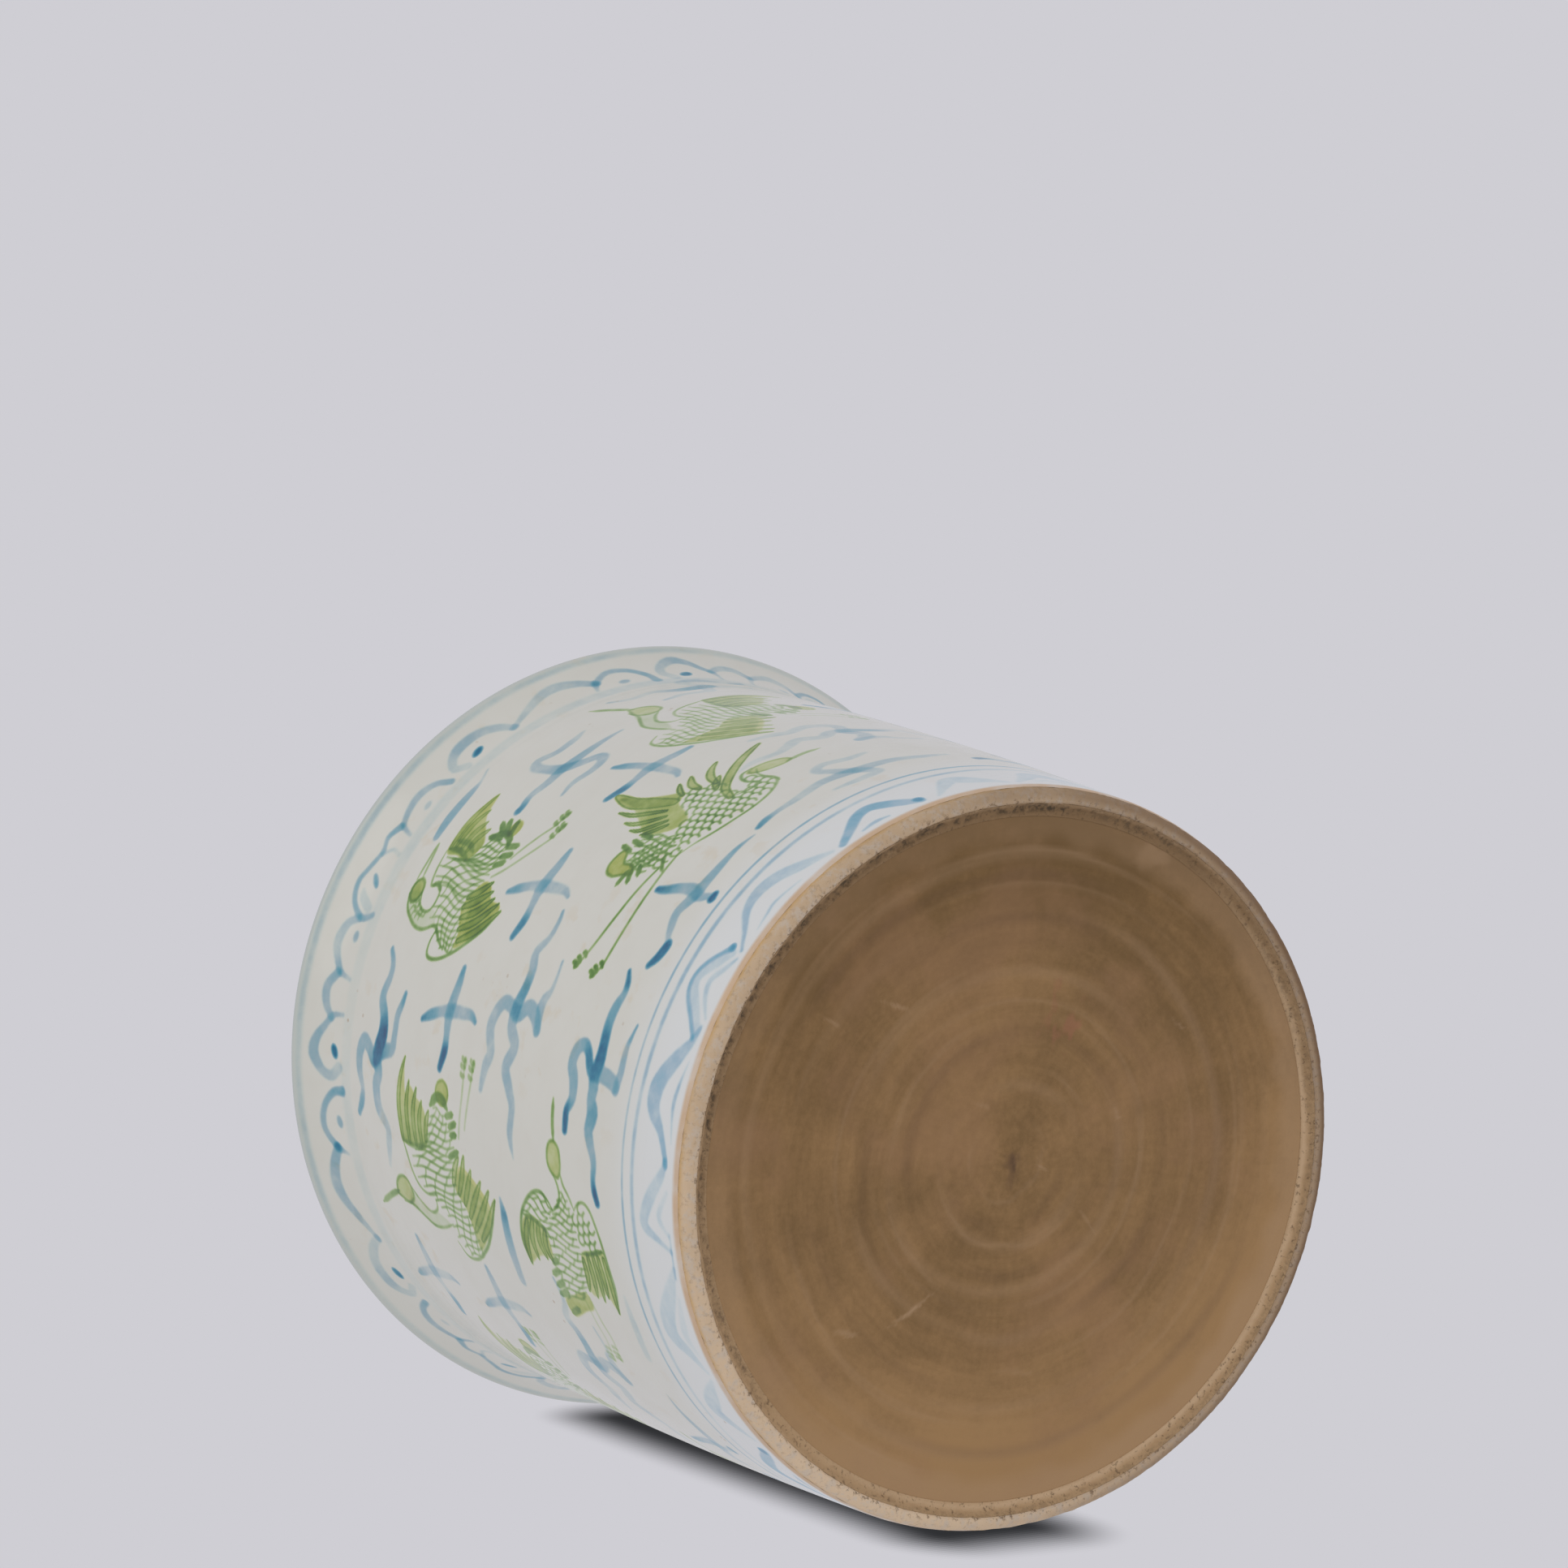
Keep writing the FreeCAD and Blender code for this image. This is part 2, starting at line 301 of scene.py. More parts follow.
    def leg(self, points, strength):
        """A thin leg, and three toes at its end."""
        self.stroke(points, 0.85, strength * 0.8, taper=0.8)
        end, before = np.array(points[-1]), np.array(points[-2])
        back = (before - end) / np.linalg.norm(before - end)
        side = np.array([-back[1], back[0]])
        side = side if side[1] > 0 else -side
        for share, reach in ((0.3, 1.6), (1.9, 1.8), (3.8, 1.5)):
            root = end + back * share
            toe = [root - side * 0.3, root + side * reach * 0.6, root + side * reach - back * 0.5]
            self.stroke(toe, 1.3, min(1, strength * 1.15), taper=0.6)
        self.stroke([end + back * 1.6, end], 1.9, strength, taper=0.7)


def crane_upright(brush):
    """The crane that looks back over its shoulder, both wings spread, at about u = -50."""
    brush.stroke([(-63.4, 148), (-61.5, 144), (-59.5, 139.5), (-58, 135.5)], 1.5, 0.6, taper=0.3)
    head = [(-58.8, 136.5), (-56, 135.5), (-54, 133), (-53.6, 130), (-55, 128), (-58, 127.5), (-60, 131)]
    brush.fill(head, 0.35, 0.2)
    brush.ring(head, 0.8, 0.5)
    brush.wash("green", [(-60.3, 130), (-55.5, 127.5), (-58, 124.5), (-60, 120), (-59.5, 115.5),
        (-61.5, 110), (-63.2, 115), (-63.5, 121), (-62, 125.5)], 0.2)
    brush.stroke([(-60.2, 134), (-60.2, 129), (-62, 124.5), (-63.5, 120), (-63, 115), (-61, 109)], 0.8,
        0.55)
    brush.stroke([(-55.5, 127.5), (-58.2, 124), (-60, 119.5), (-58.6, 115.6), (-56, 114.8)], 0.8, 0.5)
    brush.stroke([(-54.8, 113.5), (-55.4, 119), (-54, 122.5), (-51, 124.6), (-47, 126), (-44, 127.2)],
        0.8, 0.5)
    brush.ribs([(-68, 105), (-64, 109), (-60, 110), (-57, 114), (-54, 120), (-50, 123.5), (-46, 122),
        (-43, 116), (-38, 113), (-34, 110)], [(-66, 97), (-61, 97), (-56, 99), (-52, 101), (-48, 102),
        (-45, 101), (-42, 100), (-38, 102), (-34.5, 104)], 19, rungs=4)
    wing = [(-44.3, 115.5), (-44.7, 122), (-44.2, 127.3), (-39, 128.2), (-31, 127.7), (-26, 125.6),
        (-33, 124.5), (-31, 122), (-33, 119), (-35, 115), (-40, 113.6)]
    brush.wash("green", wing, 0.35, far=0.12, fade=[(-44, 120), (-34, 120)])
    brush.wash("yellow", wing, 0.5)
    brush.feathers([[(-44, 127), (-36, 128), (-30, 127.2), (-25, 125.2)],
        [(-44, 123.4), (-36, 124), (-30, 122.6)], [(-44, 120), (-37, 120.6), (-31, 118.8)],
        [(-43.5, 117), (-38, 117.4), (-33.5, 116)], [(-42, 114.6), (-38, 113.8), (-35, 112.4)]], 2.2, 0.6)
    brush.stroke([(-44.3, 126.5), (-44.6, 121), (-43.4, 115.5)], 1.4, 0.45)
    brush.fill(oval((-29.8, 105.8), 6, 6.6), 0.9, 0.22)
    brush.ring(oval((-29.8, 105.8), 5.6, 6.2), 0.7, 0.4)
    brush.stroke([(-33.5, 111.5), (-31.2, 108.5), (-31.2, 105.5), (-33, 103)], 2.4, 0.75)
    brush.dabs([((-33.6, 100), (-34.8, 104)), ((-35.4, 98.6), (-37, 102.6)), ((-38, 98.6), (-38.8, 102)),
        ((-41.7, 98.2), (-44, 103.5))], 1.7, 0.65)
    brush.stroke([(-65.5, 109.8), (-68.6, 107), (-68.3, 102), (-66, 97.5), (-62.5, 92.5), (-57, 87.5),
        (-49.8, 82.8)], 0.9, 0.6)
    brush.wash("yellow", [(-65, 97.5), (-61, 98), (-55, 99), (-51, 102.5), (-45, 98), (-49, 89),
        (-53, 86), (-59, 90)], 0.6)
    brush.wash("green", [(-65, 97.5), (-61, 98), (-55, 99), (-51, 102.5), (-46, 98), (-50, 90), (-54, 87),
        (-60, 91)], 0.22)
    brush.feathers([[(-62, 95), (-57, 89), (-50, 83)], [(-60, 97), (-54, 90.5), (-48.3, 85.4)],
        [(-57, 98), (-51.5, 93), (-46.8, 88.8)], [(-54, 99), (-49, 95.5), (-45, 93)],
        [(-52, 101), (-47.5, 98), (-42.3, 95.8)], [(-50, 103), (-46, 101), (-43, 98.6)]], 2.3, 0.6)
    brush.leg([(-38.5, 97.5), (-33, 96.6), (-28, 95.8), (-20.5, 95.6)], 0.3)
    brush.leg([(-36, 94.4), (-30, 93), (-25, 92), (-20.5, 91.6)], 0.3)


def crane_turned(brush):
    """The crane with its head drawn back and wings folded behind, at about u = 15."""
    for edge in ([(13.5, 145.4), (18, 145.3), (23, 145.6)], [(14, 143.2), (18, 143.9), (23, 145.2)]):
        brush.stroke(edge, 0.9, 0.5)
    neck = [(10, 145.6), (6.8, 143.4), (4.8, 140), (3.4, 136.5), (3.1, 133), (3.9, 130), (5, 127.6),
        (7.6, 129), (8.2, 132.2), (7.2, 135), (8.2, 138), (11, 140)]
    brush.wash("green", neck, 0.18)
    brush.wash("green", oval((11.2, 142.7), 6.2, 5.8), 0.28)
    brush.wash("yellow", oval((11.2, 142.7), 6, 5.6), 0.6)
    brush.ring(oval((11.2, 142.7), 5.8, 5.4), 0.9, 0.6)
    brush.stroke([(10, 145.6), (6.8, 143.4), (4.8, 140), (3.4, 136.5), (3.1, 133), (3.7, 130.5),
        (4.9, 127.5), (4.2, 125.3), (2, 122.4), (0.5, 119)], 0.9, 0.6)
    brush.stroke([(11, 139.8), (8.2, 138), (7.2, 135), (7.8, 132.6), (10, 131.6), (12.8, 132.2),
        (14, 134.6), (13.3, 137.4), (17, 139), (22, 139.8)], 0.8, 0.55)
    brush.stroke([(13.4, 137), (14.1, 134.4), (12.8, 132)], 1.4, 0.6)
    brush.ribs([(5, 136), (5.4, 140), (8, 143)], [(7, 134), (8, 137.5), (9.5, 139.6)], 5, rungs=1,
        strength=0.4)
    brush.ribs([(0.5, 121), (3, 125), (5.5, 130), (8, 131.6), (11, 131.4), (14, 132), (15, 137),
        (18, 138.6), (20.6, 138), (21, 129), (25, 126.2), (28, 125)],
        [(1, 114.5), (4, 115), (7, 116), (10, 117.6), (13, 117.6), (16, 116.5), (19, 115), (22, 115),
        (25, 115), (28, 116)], 18, rungs=5)
    wing = [(21.8, 139.4), (21.8, 134), (21, 129), (22.5, 127.3), (26, 126), (29, 129), (33, 134),
        (39, 137), (35, 139), (29, 140)]
    brush.wash("yellow", wing, 0.75)
    brush.wash("green", wing, 0.35, far=0.1, fade=[(23, 133), (33, 136)])
    brush.feathers([[(23, 139), (30, 139.3), (39, 137)], [(24, 137), (30, 136.6), (34.5, 134.6)],
        [(24, 134), (28, 133.4), (31.6, 131.4)], [(23.5, 131), (27, 130.4), (30, 128)]], 2.4, 0.5)
    brush.stroke([(22.7, 139.2), (23, 134), (21.6, 128.6)], 1.5, 0.55)
    brush.stroke([(25.2, 138), (25.2, 132), (23.6, 128)], 1.6, 0.45)
    brush.stroke([(4.4, 125.4), (1.2, 126.3), (-1.6, 125.6), (-2.3, 122.6), (-1.2, 118), (1.2, 113.2),
        (4.6, 108.3), (8, 104.5), (12.6, 101.2)], 0.9, 0.65)
    wing = [(1.6, 114.4), (5, 115), (8.5, 117.4), (12, 118.6), (17.6, 115.4), (17.6, 111.4), (14.6, 108),
        (13.6, 102.6), (9, 104), (5, 108.3)]
    brush.fill(wing, 0.95, 0.2)
    brush.feathers([[(3.4, 114), (7, 107.5), (12.8, 101.4)], [(6, 115.6), (9, 109.5), (14.2, 103.8)],
        [(8.6, 117), (11, 111.5), (15, 106.8)], [(11, 118.2), (13.2, 113.6), (16.4, 109)],
        [(13.4, 118.2), (15.5, 114.6), (18.4, 111.2)]], 2.4, 0.8)
    brush.dabs([((32.7, 125.4), (29.4, 120.5)), ((34, 123), (30, 119.6)), ((34.4, 119.4), (30, 118)),
        ((28.4, 126), (28.6, 120)), ((23.8, 111.8), (22, 115.8)), ((26, 111), (24.6, 115.6)),
        ((28.4, 111), (27.2, 116))], 1.9, 0.65)
    brush.stroke([(29, 124.5), (30.2, 120.5), (29.4, 117), (27.2, 115)], 2.0, 0.7)
    brush.fill(oval((32, 118), 5, 4.6), 0.9, 0.22)
    brush.leg([(19.5, 113.5), (22, 110), (26, 106), (30, 102.6), (33, 100.6), (36.8, 100)], 0.45)
    brush.leg([(25, 110.5), (29, 108), (33, 105.4), (36, 103.4), (40, 102.6)], 0.45)


def crane_flying(brush):
    """The crane that flies with its legs trailing and its neck bent under, at about u = 45."""
    brush.stroke([(84.4, 60.4), (80, 60.2), (75, 59)], 1.5, 0.4, taper=0.3)
    brush.fill(oval((71.6, 61.2), 11, 5.4, -0.25), 0.4, 0.2)
    brush.ring(oval((71.8, 61.1), 10, 4.8, -0.25), 0.7, 0.35)
    brush.stroke([(68.6, 64), (65.8, 63.4), (64.2, 61), (64.1, 58), (65, 55.8), (63.8, 54.3),
        (61.6, 54.1), (59.2, 55.2)], 0.85, 0.6)
    brush.stroke([(69, 62.4), (67.7, 59.5), (67.7, 56.5), (68.4, 53.5), (67.6, 50.8), (65, 48.2),
        (61.5, 46.2), (57, 45.3), (52, 45.8), (47, 47.2), (42.5, 49.4), (38.5, 51)], 0.85, 0.55)
    body = [(40, 52), (42.5, 58), (45, 60.5), (49, 59), (50.5, 65), (54, 71), (57, 71), (59.5, 66),
        (60.5, 62), (58.6, 57.5), (60, 55), (65, 56.5), (64.6, 61), (66.8, 62), (67.4, 56), (68, 52.5),
        (64.5, 48.4), (58, 46), (51, 46.6), (44.5, 49.3)]
    brush.scales(body, 2.7, turn=-0.35)
    brush.ribs([(33, 67), (36, 68), (39, 68), (41, 66)], [(34, 57), (37, 55.6), (40, 54.2), (43, 56)], 5,
        rungs=3)
    brush.scales([(32, 62), (34, 55), (39, 51.5), (43, 55), (41, 61), (36, 64)], 2.5, turn=0.5)
    brush.stroke([(38, 55.2), (35, 53), (33.6, 51)], 1.1, 0.6)
    wing = [(41, 69), (44, 76), (46.4, 82), (47.6, 90), (49.6, 83), (52.6, 76), (55, 71.6), (51.5, 69),
        (50, 64), (48, 60), (44.5, 61), (42, 65)]
    brush.fill(wing, 0.6, 0.25)
    brush.feathers([[(51.5, 71), (49.4, 77), (47.6, 84), (48, 92)]], 4.2, 0.55, 0.6)
    brush.feathers([[(48.5, 70), (45.8, 76), (44.4, 80), (44, 85)],
        [(47, 68), (44, 72.4), (42.4, 76), (42, 79.4)], [(46, 66), (43, 69.4), (41.2, 72), (40.6, 75)],
        [(45, 64.4), (42.4, 67), (40.4, 70)], [(54, 71), (55, 74), (56.8, 77)]], 1.7, 0.95, 0.5)
    brush.feathers([[(58, 56), (60, 61.5), (65, 67), (71, 72), (78.4, 77.2)]], 2.8, 0.75, 0.6)
    brush.feathers([[(60.6, 66.6), (61.8, 71), (64, 74.4), (67, 77)], [(57.4, 69), (57.8, 73), (60, 77)],
        [(59, 64), (61, 67), (63, 69)]], 2.3, 0.75, 0.6)
    tail = [(28.7, 67), (29, 69.8), (31, 71.4), (34.4, 71), (36, 69.6), (34.4, 68), (32.6, 66.6),
        (32.8, 63), (30.6, 61), (29.8, 64)]
    brush.fill(tail, 1.0, 0.22)
    brush.ring(tail, 0.8, 0.6)
    brush.dabs([((36.6, 72.6), (35.6, 67.6)), ((38.6, 70.6), (38, 65.6)), ((40.6, 69.6), (40.8, 65)),
        ((26.8, 63.4), (31.4, 63)), ((28.2, 60), (32, 62.4)), ((30.6, 58.2), (33.6, 60.6))], 1.5, 0.75)
    brush.leg([(34, 53.3), (28, 54.5), (21, 55.6), (14, 57.3), (9, 59.4), (7, 61)], 0.75)
    brush.leg([(40, 51.2), (35, 50.8), (28, 50.2), (20, 49.9), (13, 50.2), (8.6, 51), (6.2, 53.2)], 0.75)


def crane_diving(brush):
    """The crane seen from above with its neck stretched out, at about u = -58."""
    brush.stroke([(-30.8, 53.2), (-27, 54), (-21.6, 54.6)], 1.3, 0.55, taper=0.4)
    head = [(-30.7, 53.2), (-32.2, 51), (-36, 50.3), (-38.6, 51.4), (-38, 54), (-36, 55.8), (-33, 56),
        (-31.2, 55)]
    brush.fill(head, 0.5, 0.2)
    brush.ring(head, 0.8, 0.5)
    brush.stroke([(-38.4, 53.4), (-40.5, 51.8), (-43, 51.5), (-45, 52.8), (-47, 55.6)], 0.8, 0.55)
    brush.stroke([(-37.6, 50.4), (-40, 49.3), (-42, 47.3), (-44.6, 45.6)], 0.8, 0.55)
    brush.ribs([(-69, 60), (-65, 61), (-62, 61), (-59, 60), (-56, 59.5), (-53, 61.4), (-51, 60),
        (-48.6, 57), (-47, 55), (-42, 51.4)], [(-66, 50), (-63.5, 48), (-61, 46.5), (-58, 45.6),
        (-55, 45.6), (-52, 46.4), (-49, 46), (-46, 46.6), (-43, 48)], 15, rungs=3)
    brush.ribs([(-49.5, 69.6), (-46.8, 67.4), (-44.6, 64), (-43.5, 60.4)],
        [(-51.6, 61), (-49.6, 59), (-47.6, 56.5), (-46.5, 55.6)], 5, rungs=2)
    brush.stroke([(-46.6, 55.4), (-44.6, 57.4), (-43.4, 60.4), (-44.4, 64), (-47, 67.6), (-50.5, 70.6),
        (-54.5, 72.4), (-58, 73), (-62.4, 72.2)], 1.0, 0.6)
    wing = [(-62, 72), (-56, 72.8), (-51, 69.6), (-50, 65), (-52.5, 60.4), (-59, 60), (-59, 64),
        (-60, 67.5)]
    brush.fill(wing, 0.6, 0.2)
    brush.feathers([[(-51.6, 68.6), (-57, 71.2), (-62.6, 71.8)], [(-51, 66), (-56, 68), (-60.6, 67.4)],
        [(-51.6, 63.6), (-56, 64.6), (-59.6, 63)], [(-52.6, 61), (-56.5, 62), (-60, 60.4)]], 2.4, 0.75)
    brush.stroke([(-50.4, 69.6), (-50.6, 65.6), (-52, 61), (-53.8, 58.6)], 1.4, 0.5)
    tail = [(-73.6, 59.6), (-72, 61.4), (-69, 61), (-67.6, 57), (-65.6, 52), (-65.4, 48.6), (-69, 48.6),
        (-70.6, 53)]
    brush.fill(tail, 0.7, 0.2)
    brush.dabs([((-68.4, 63), (-67, 58)), ((-66.2, 62.8), (-64.6, 58.4)), ((-63.4, 62.8), (-61.4, 58.6)),
        ((-73, 61), (-70.6, 56)), ((-60.4, 61), (-58.6, 58))], 1.8, 0.6)
    brush.stroke([(-44.8, 45.6), (-43, 43.8), (-42.2, 41.2), (-43.4, 38.8), (-46.5, 36.9), (-51, 35.3),
        (-56, 34.5), (-61, 34.3), (-67.3, 36.4)], 0.9, 0.55)
    wing = [(-64, 46.4), (-55, 45.6), (-53, 39), (-52.6, 35.4), (-60, 34.8), (-66.4, 36.4), (-63.4, 39),
        (-64.6, 42.6)]
    brush.fill(wing, 0.4, 0.12)
    brush.feathers([[(-54, 36), (-60, 35.6), (-67.4, 36.4)], [(-54, 38.4), (-59, 38.2), (-64, 38.8)],
        [(-54, 40.6), (-60, 40.4), (-65.4, 41.2)], [(-54.6, 43), (-60, 43), (-65, 44)],
        [(-56, 45.4), (-60, 45.6), (-64, 47)]], 2.1, 0.7)
    brush.stroke([(-54.6, 45.2), (-53.8, 41), (-52.6, 37.6), (-52.4, 35.4)], 1.1, 0.6)
    brush.scales([(-52, 36.4), (-47, 37.6), (-44, 40), (-43.6, 43), (-46, 45.6), (-51, 45), (-52.4, 40)],
        2.6, turn=0.8)
    brush.leg([(-66, 48.3), (-72, 47.4), (-77, 46.6), (-83, 48.6)], 0.25)
    brush.leg([(-67, 51), (-73, 50.4), (-78, 50), (-84, 52.6)], 0.2)


# Clouds: strokes of points, each with its place (u, v), its width and its strength.
BIG_CLOUD = [
    [(-27.4, 48.6, 1.5, 0.9), (-25, 48.6, 1.7, 0.95), (-23, 48.5, 1.7, 0.85), (-20, 46.8, 2.4, 0.45),
     (-16, 47.5, 2.8, 0.42), (-13, 49.3, 2.8, 0.4), (-9.5, 48.5, 2.8, 0.4), (-8.2, 46, 2.4, 0.5),
     (-9.5, 43.8, 2, 0.75), (-12, 42.2, 2.2, 0.75), (-13.4, 40.3, 2.6, 0.7), (-13, 37, 3, 0.45),
     (-13.5, 33, 3, 0.4), (-14.5, 30.6, 2.6, 0.4)],
    [(-15.4, 30, 2, 0.3), (-11, 29.6, 2, 0.4), (-6, 29.8, 1.6, 0.35), (-3, 29.2, 0.9, 0.6),
     (-0.5, 28.6, 0.5, 0.7)],
    [(-41, 34.9, 1.5, 0.95), (-38.5, 35.9, 1.6, 0.9), (-36, 36.2, 1.5, 0.6), (-32, 36, 2, 0.4),
     (-28, 37.8, 2.6, 0.42), (-25.5, 38.7, 2.8, 0.5), (-22, 37.8, 3.4, 0.6), (-19, 39, 2.8, 0.45),
     (-16.5, 38.9, 3, 0.5), (-14, 39.5, 3, 0.6), (-10.5, 38.7, 3, 0.95), (-7, 38.8, 2.6, 0.85),
     (-2, 39.4, 2.6, 0.6), (2, 39, 2.4, 0.5), (5, 38, 1.8, 0.45), (7.5, 38.4, 1.4, 0.8),
     (10, 39.9, 0.8, 0.9)],
]
FLOWING_CLOUD = [
    [(-25.5, 87.2, 1.6, 0.3), (-20, 86, 2.8, 0.32), (-17, 84.8, 2.8, 0.3), (-12, 87, 3, 0.32),
     (-8, 86, 3, 0.32), (-5.5, 83.5, 2.8, 0.35), (-6, 80, 2.6, 0.4), (-7, 76.5, 3, 0.45),
     (-4.8, 73, 3, 0.35), (-6, 69.5, 3, 0.35), (-9, 67, 2.4, 0.3)],
    [(-9, 67, 2, 0.3), (-3, 68, 2.6, 0.32), (0, 66.3, 1.6, 0.3), (3, 66, 1.2, 0.3), (7, 66.5, 0.8, 0.4)],
    [(-38, 71.5, 0.8, 0.25), (-33, 72.8, 2.2, 0.3), (-27, 72.3, 2.4, 0.32), (-23, 74.5, 2.8, 0.34),
     (-19, 77, 3, 0.34), (-14, 74.8, 3, 0.32), (-10, 78, 3, 0.35), (-5, 78, 3, 0.5), (-1, 77, 2.6, 0.6),
     (3, 77, 2.6, 0.4), (7, 78.5, 2.4, 0.3), (11, 76, 1.8, 0.3), (15, 75.7, 1.4, 0.35),
     (17.5, 76.5, 0.8, 0.5)],
]
BENT_CLOUD = [
    [(-42, 150.4, 1.4, 0.5), (-39, 148.4, 2, 0.6), (-36, 147.6, 1.8, 0.35), (-32, 149.2, 2.6, 0.35),
     (-28, 149.4, 3, 0.4), (-25, 147.4, 3, 0.4), (-26, 144.5, 2.8, 0.4), (-28.4, 141.6, 2.8, 0.6),
     (-26.6, 139, 3, 0.75), (-25.5, 136, 2.8, 0.5), (-24.5, 132.4, 2.6, 0.4), (-21, 131.8, 2.2, 0.4),
     (-17, 131.8, 2.2, 0.4), (-14, 130.6, 1.8, 0.5), (-11.6, 130, 1.2, 0.6)],
    [(-52, 137, 1.2, 0.2), (-47, 135.5, 2.4, 0.26), (-43, 135, 2.4, 0.28), (-39, 139, 3, 0.34),
     (-34, 140, 3.2, 0.4), (-31, 138.8, 3.2, 0.4), (-27, 140, 3.4, 0.8), (-22, 138, 3.6, 0.95),
     (-18, 138.6, 3, 0.65), (-14, 141, 2.6, 0.4), (-9, 139.6, 2.2, 0.34), (-6, 140.2, 1.8, 0.36),
     (-3.2, 142.8, 1.2, 0.55)],
]
HOOKED_CLOUD = [
    [(64, 136.4, 1, 0.25), (60, 134.5, 2.4, 0.28), (55, 134, 2.4, 0.3), (51, 136.5, 2.4, 0.3),
     (49, 134, 2.6, 0.3), (49.5, 129, 2.6, 0.3), (50.8, 124, 3, 0.45), (54, 120, 2.8, 0.35),
     (57.5, 117, 2.6, 0.34), (57, 114, 2.6, 0.32), (53, 112.5, 2.4, 0.3), (48, 113.5, 2, 0.26),
     (44, 112.5, 1, 0.3)],
    [(36.6, 123, 2, 0.75), (38, 123, 1.8, 0.65), (41, 124, 2.2, 0.32), (46, 123, 2.8, 0.34),
     (51, 123.5, 3, 0.42), (57, 123.5, 2.8, 0.4), (62, 124, 2.2, 0.32), (68, 124.5, 1, 0.3)],
]
CROSS_CLOUD = [
    [(-15.4, 119.4, 1, 0.75), (-14, 116, 2, 0.6), (-12.4, 111, 2.2, 0.4), (-11.5, 106, 2.6, 0.4),
     (-11, 100, 2.4, 0.35), (-11, 96.6, 1.8, 0.45), (-12, 94.4, 1, 0.55)],
    [(-24.4, 107.6, 1.6, 0.85), (-20.4, 106.2, 2.2, 0.85), (-17, 106.3, 2.2, 0.4), (-12, 107, 3, 0.42),
     (-6, 106.2, 2.6, 0.45), (-1.8, 106.2, 1.4, 0.6)],
]
LEANING_CROSS = [
    [(29.4, 47.8, 1.2, 0.9), (29.8, 45.4, 1.8, 0.7), (31.5, 40, 2.4, 0.45), (32, 36, 2.6, 0.45),
     (31, 32, 2.2, 0.35), (31.8, 29.4, 1.6, 0.4)],
    [(31.6, 27.6, 1.8, 0.95), (32.8, 27.8, 1.4, 0.9)],
    [(12.6, 34.2, 1.3, 0.8), (15, 32.4, 2, 0.95), (17.6, 31.6, 2.2, 1.0), (18.4, 31.5, 1.8, 0.8)],
    [(19, 32.4, 1.4, 0.3), (22, 34, 2, 0.35), (26, 35.5, 2.4, 0.36), (31, 34, 3, 0.42),
     (38, 34, 2.4, 0.45), (45, 34.5, 1.4, 0.45), (50, 34, 0.6, 0.35)],
]
LOW_CLOUD = [
    [(52.4, 35.6, 1.2, 0.7), (55, 36.4, 1.8, 0.6), (58, 36.6, 1.6, 0.4), (64, 36.8, 2.4, 0.26),
     (72, 38.6, 2.8, 0.28), (80, 38, 3.2, 0.32), (90, 38.4, 2.8, 0.28), (97, 37.6, 2.4, 0.25),
     (104, 38.4, 1.4, 0.22)],
    [(89, 48.6, 1.4, 0.22), (84, 47.2, 2.4, 0.25), (78, 48.4, 2.4, 0.26), (75, 46, 2.4, 0.26),
     (77, 42, 2.6, 0.28), (81, 37, 2.8, 0.3), (83, 33, 2.6, 0.26), (77, 31.6, 2.2, 0.25),
     (71, 31.8, 1.2, 0.22)],
]
MIRRORED_BENT = [[(-54 - u, v, width, strength) for u, v, width, strength in points]
                 for points in BENT_CLOUD]
LONG_DASH = [
    [(24.6, 148.6, 2.2, 0.4), (30, 149.2, 3, 0.48), (37, 149.4, 2.4, 0.42), (41, 150, 1.2, 0.25),
     (44.6, 152.4, 0.8, 0.3)],
]
SHORT_DASH = [
    [(-69, 81, 2.4, 0.32), (-62, 80.6, 3, 0.36), (-55, 80, 2.6, 0.55), (-52, 79.6, 2, 0.65),
     (-49, 80, 1, 0.3)],
]
PALE_DASH = [
    [(-78, 32.6, 2.2, 0.2), (-70, 31.4, 2.4, 0.22), (-62, 31, 1.2, 0.15)],
]

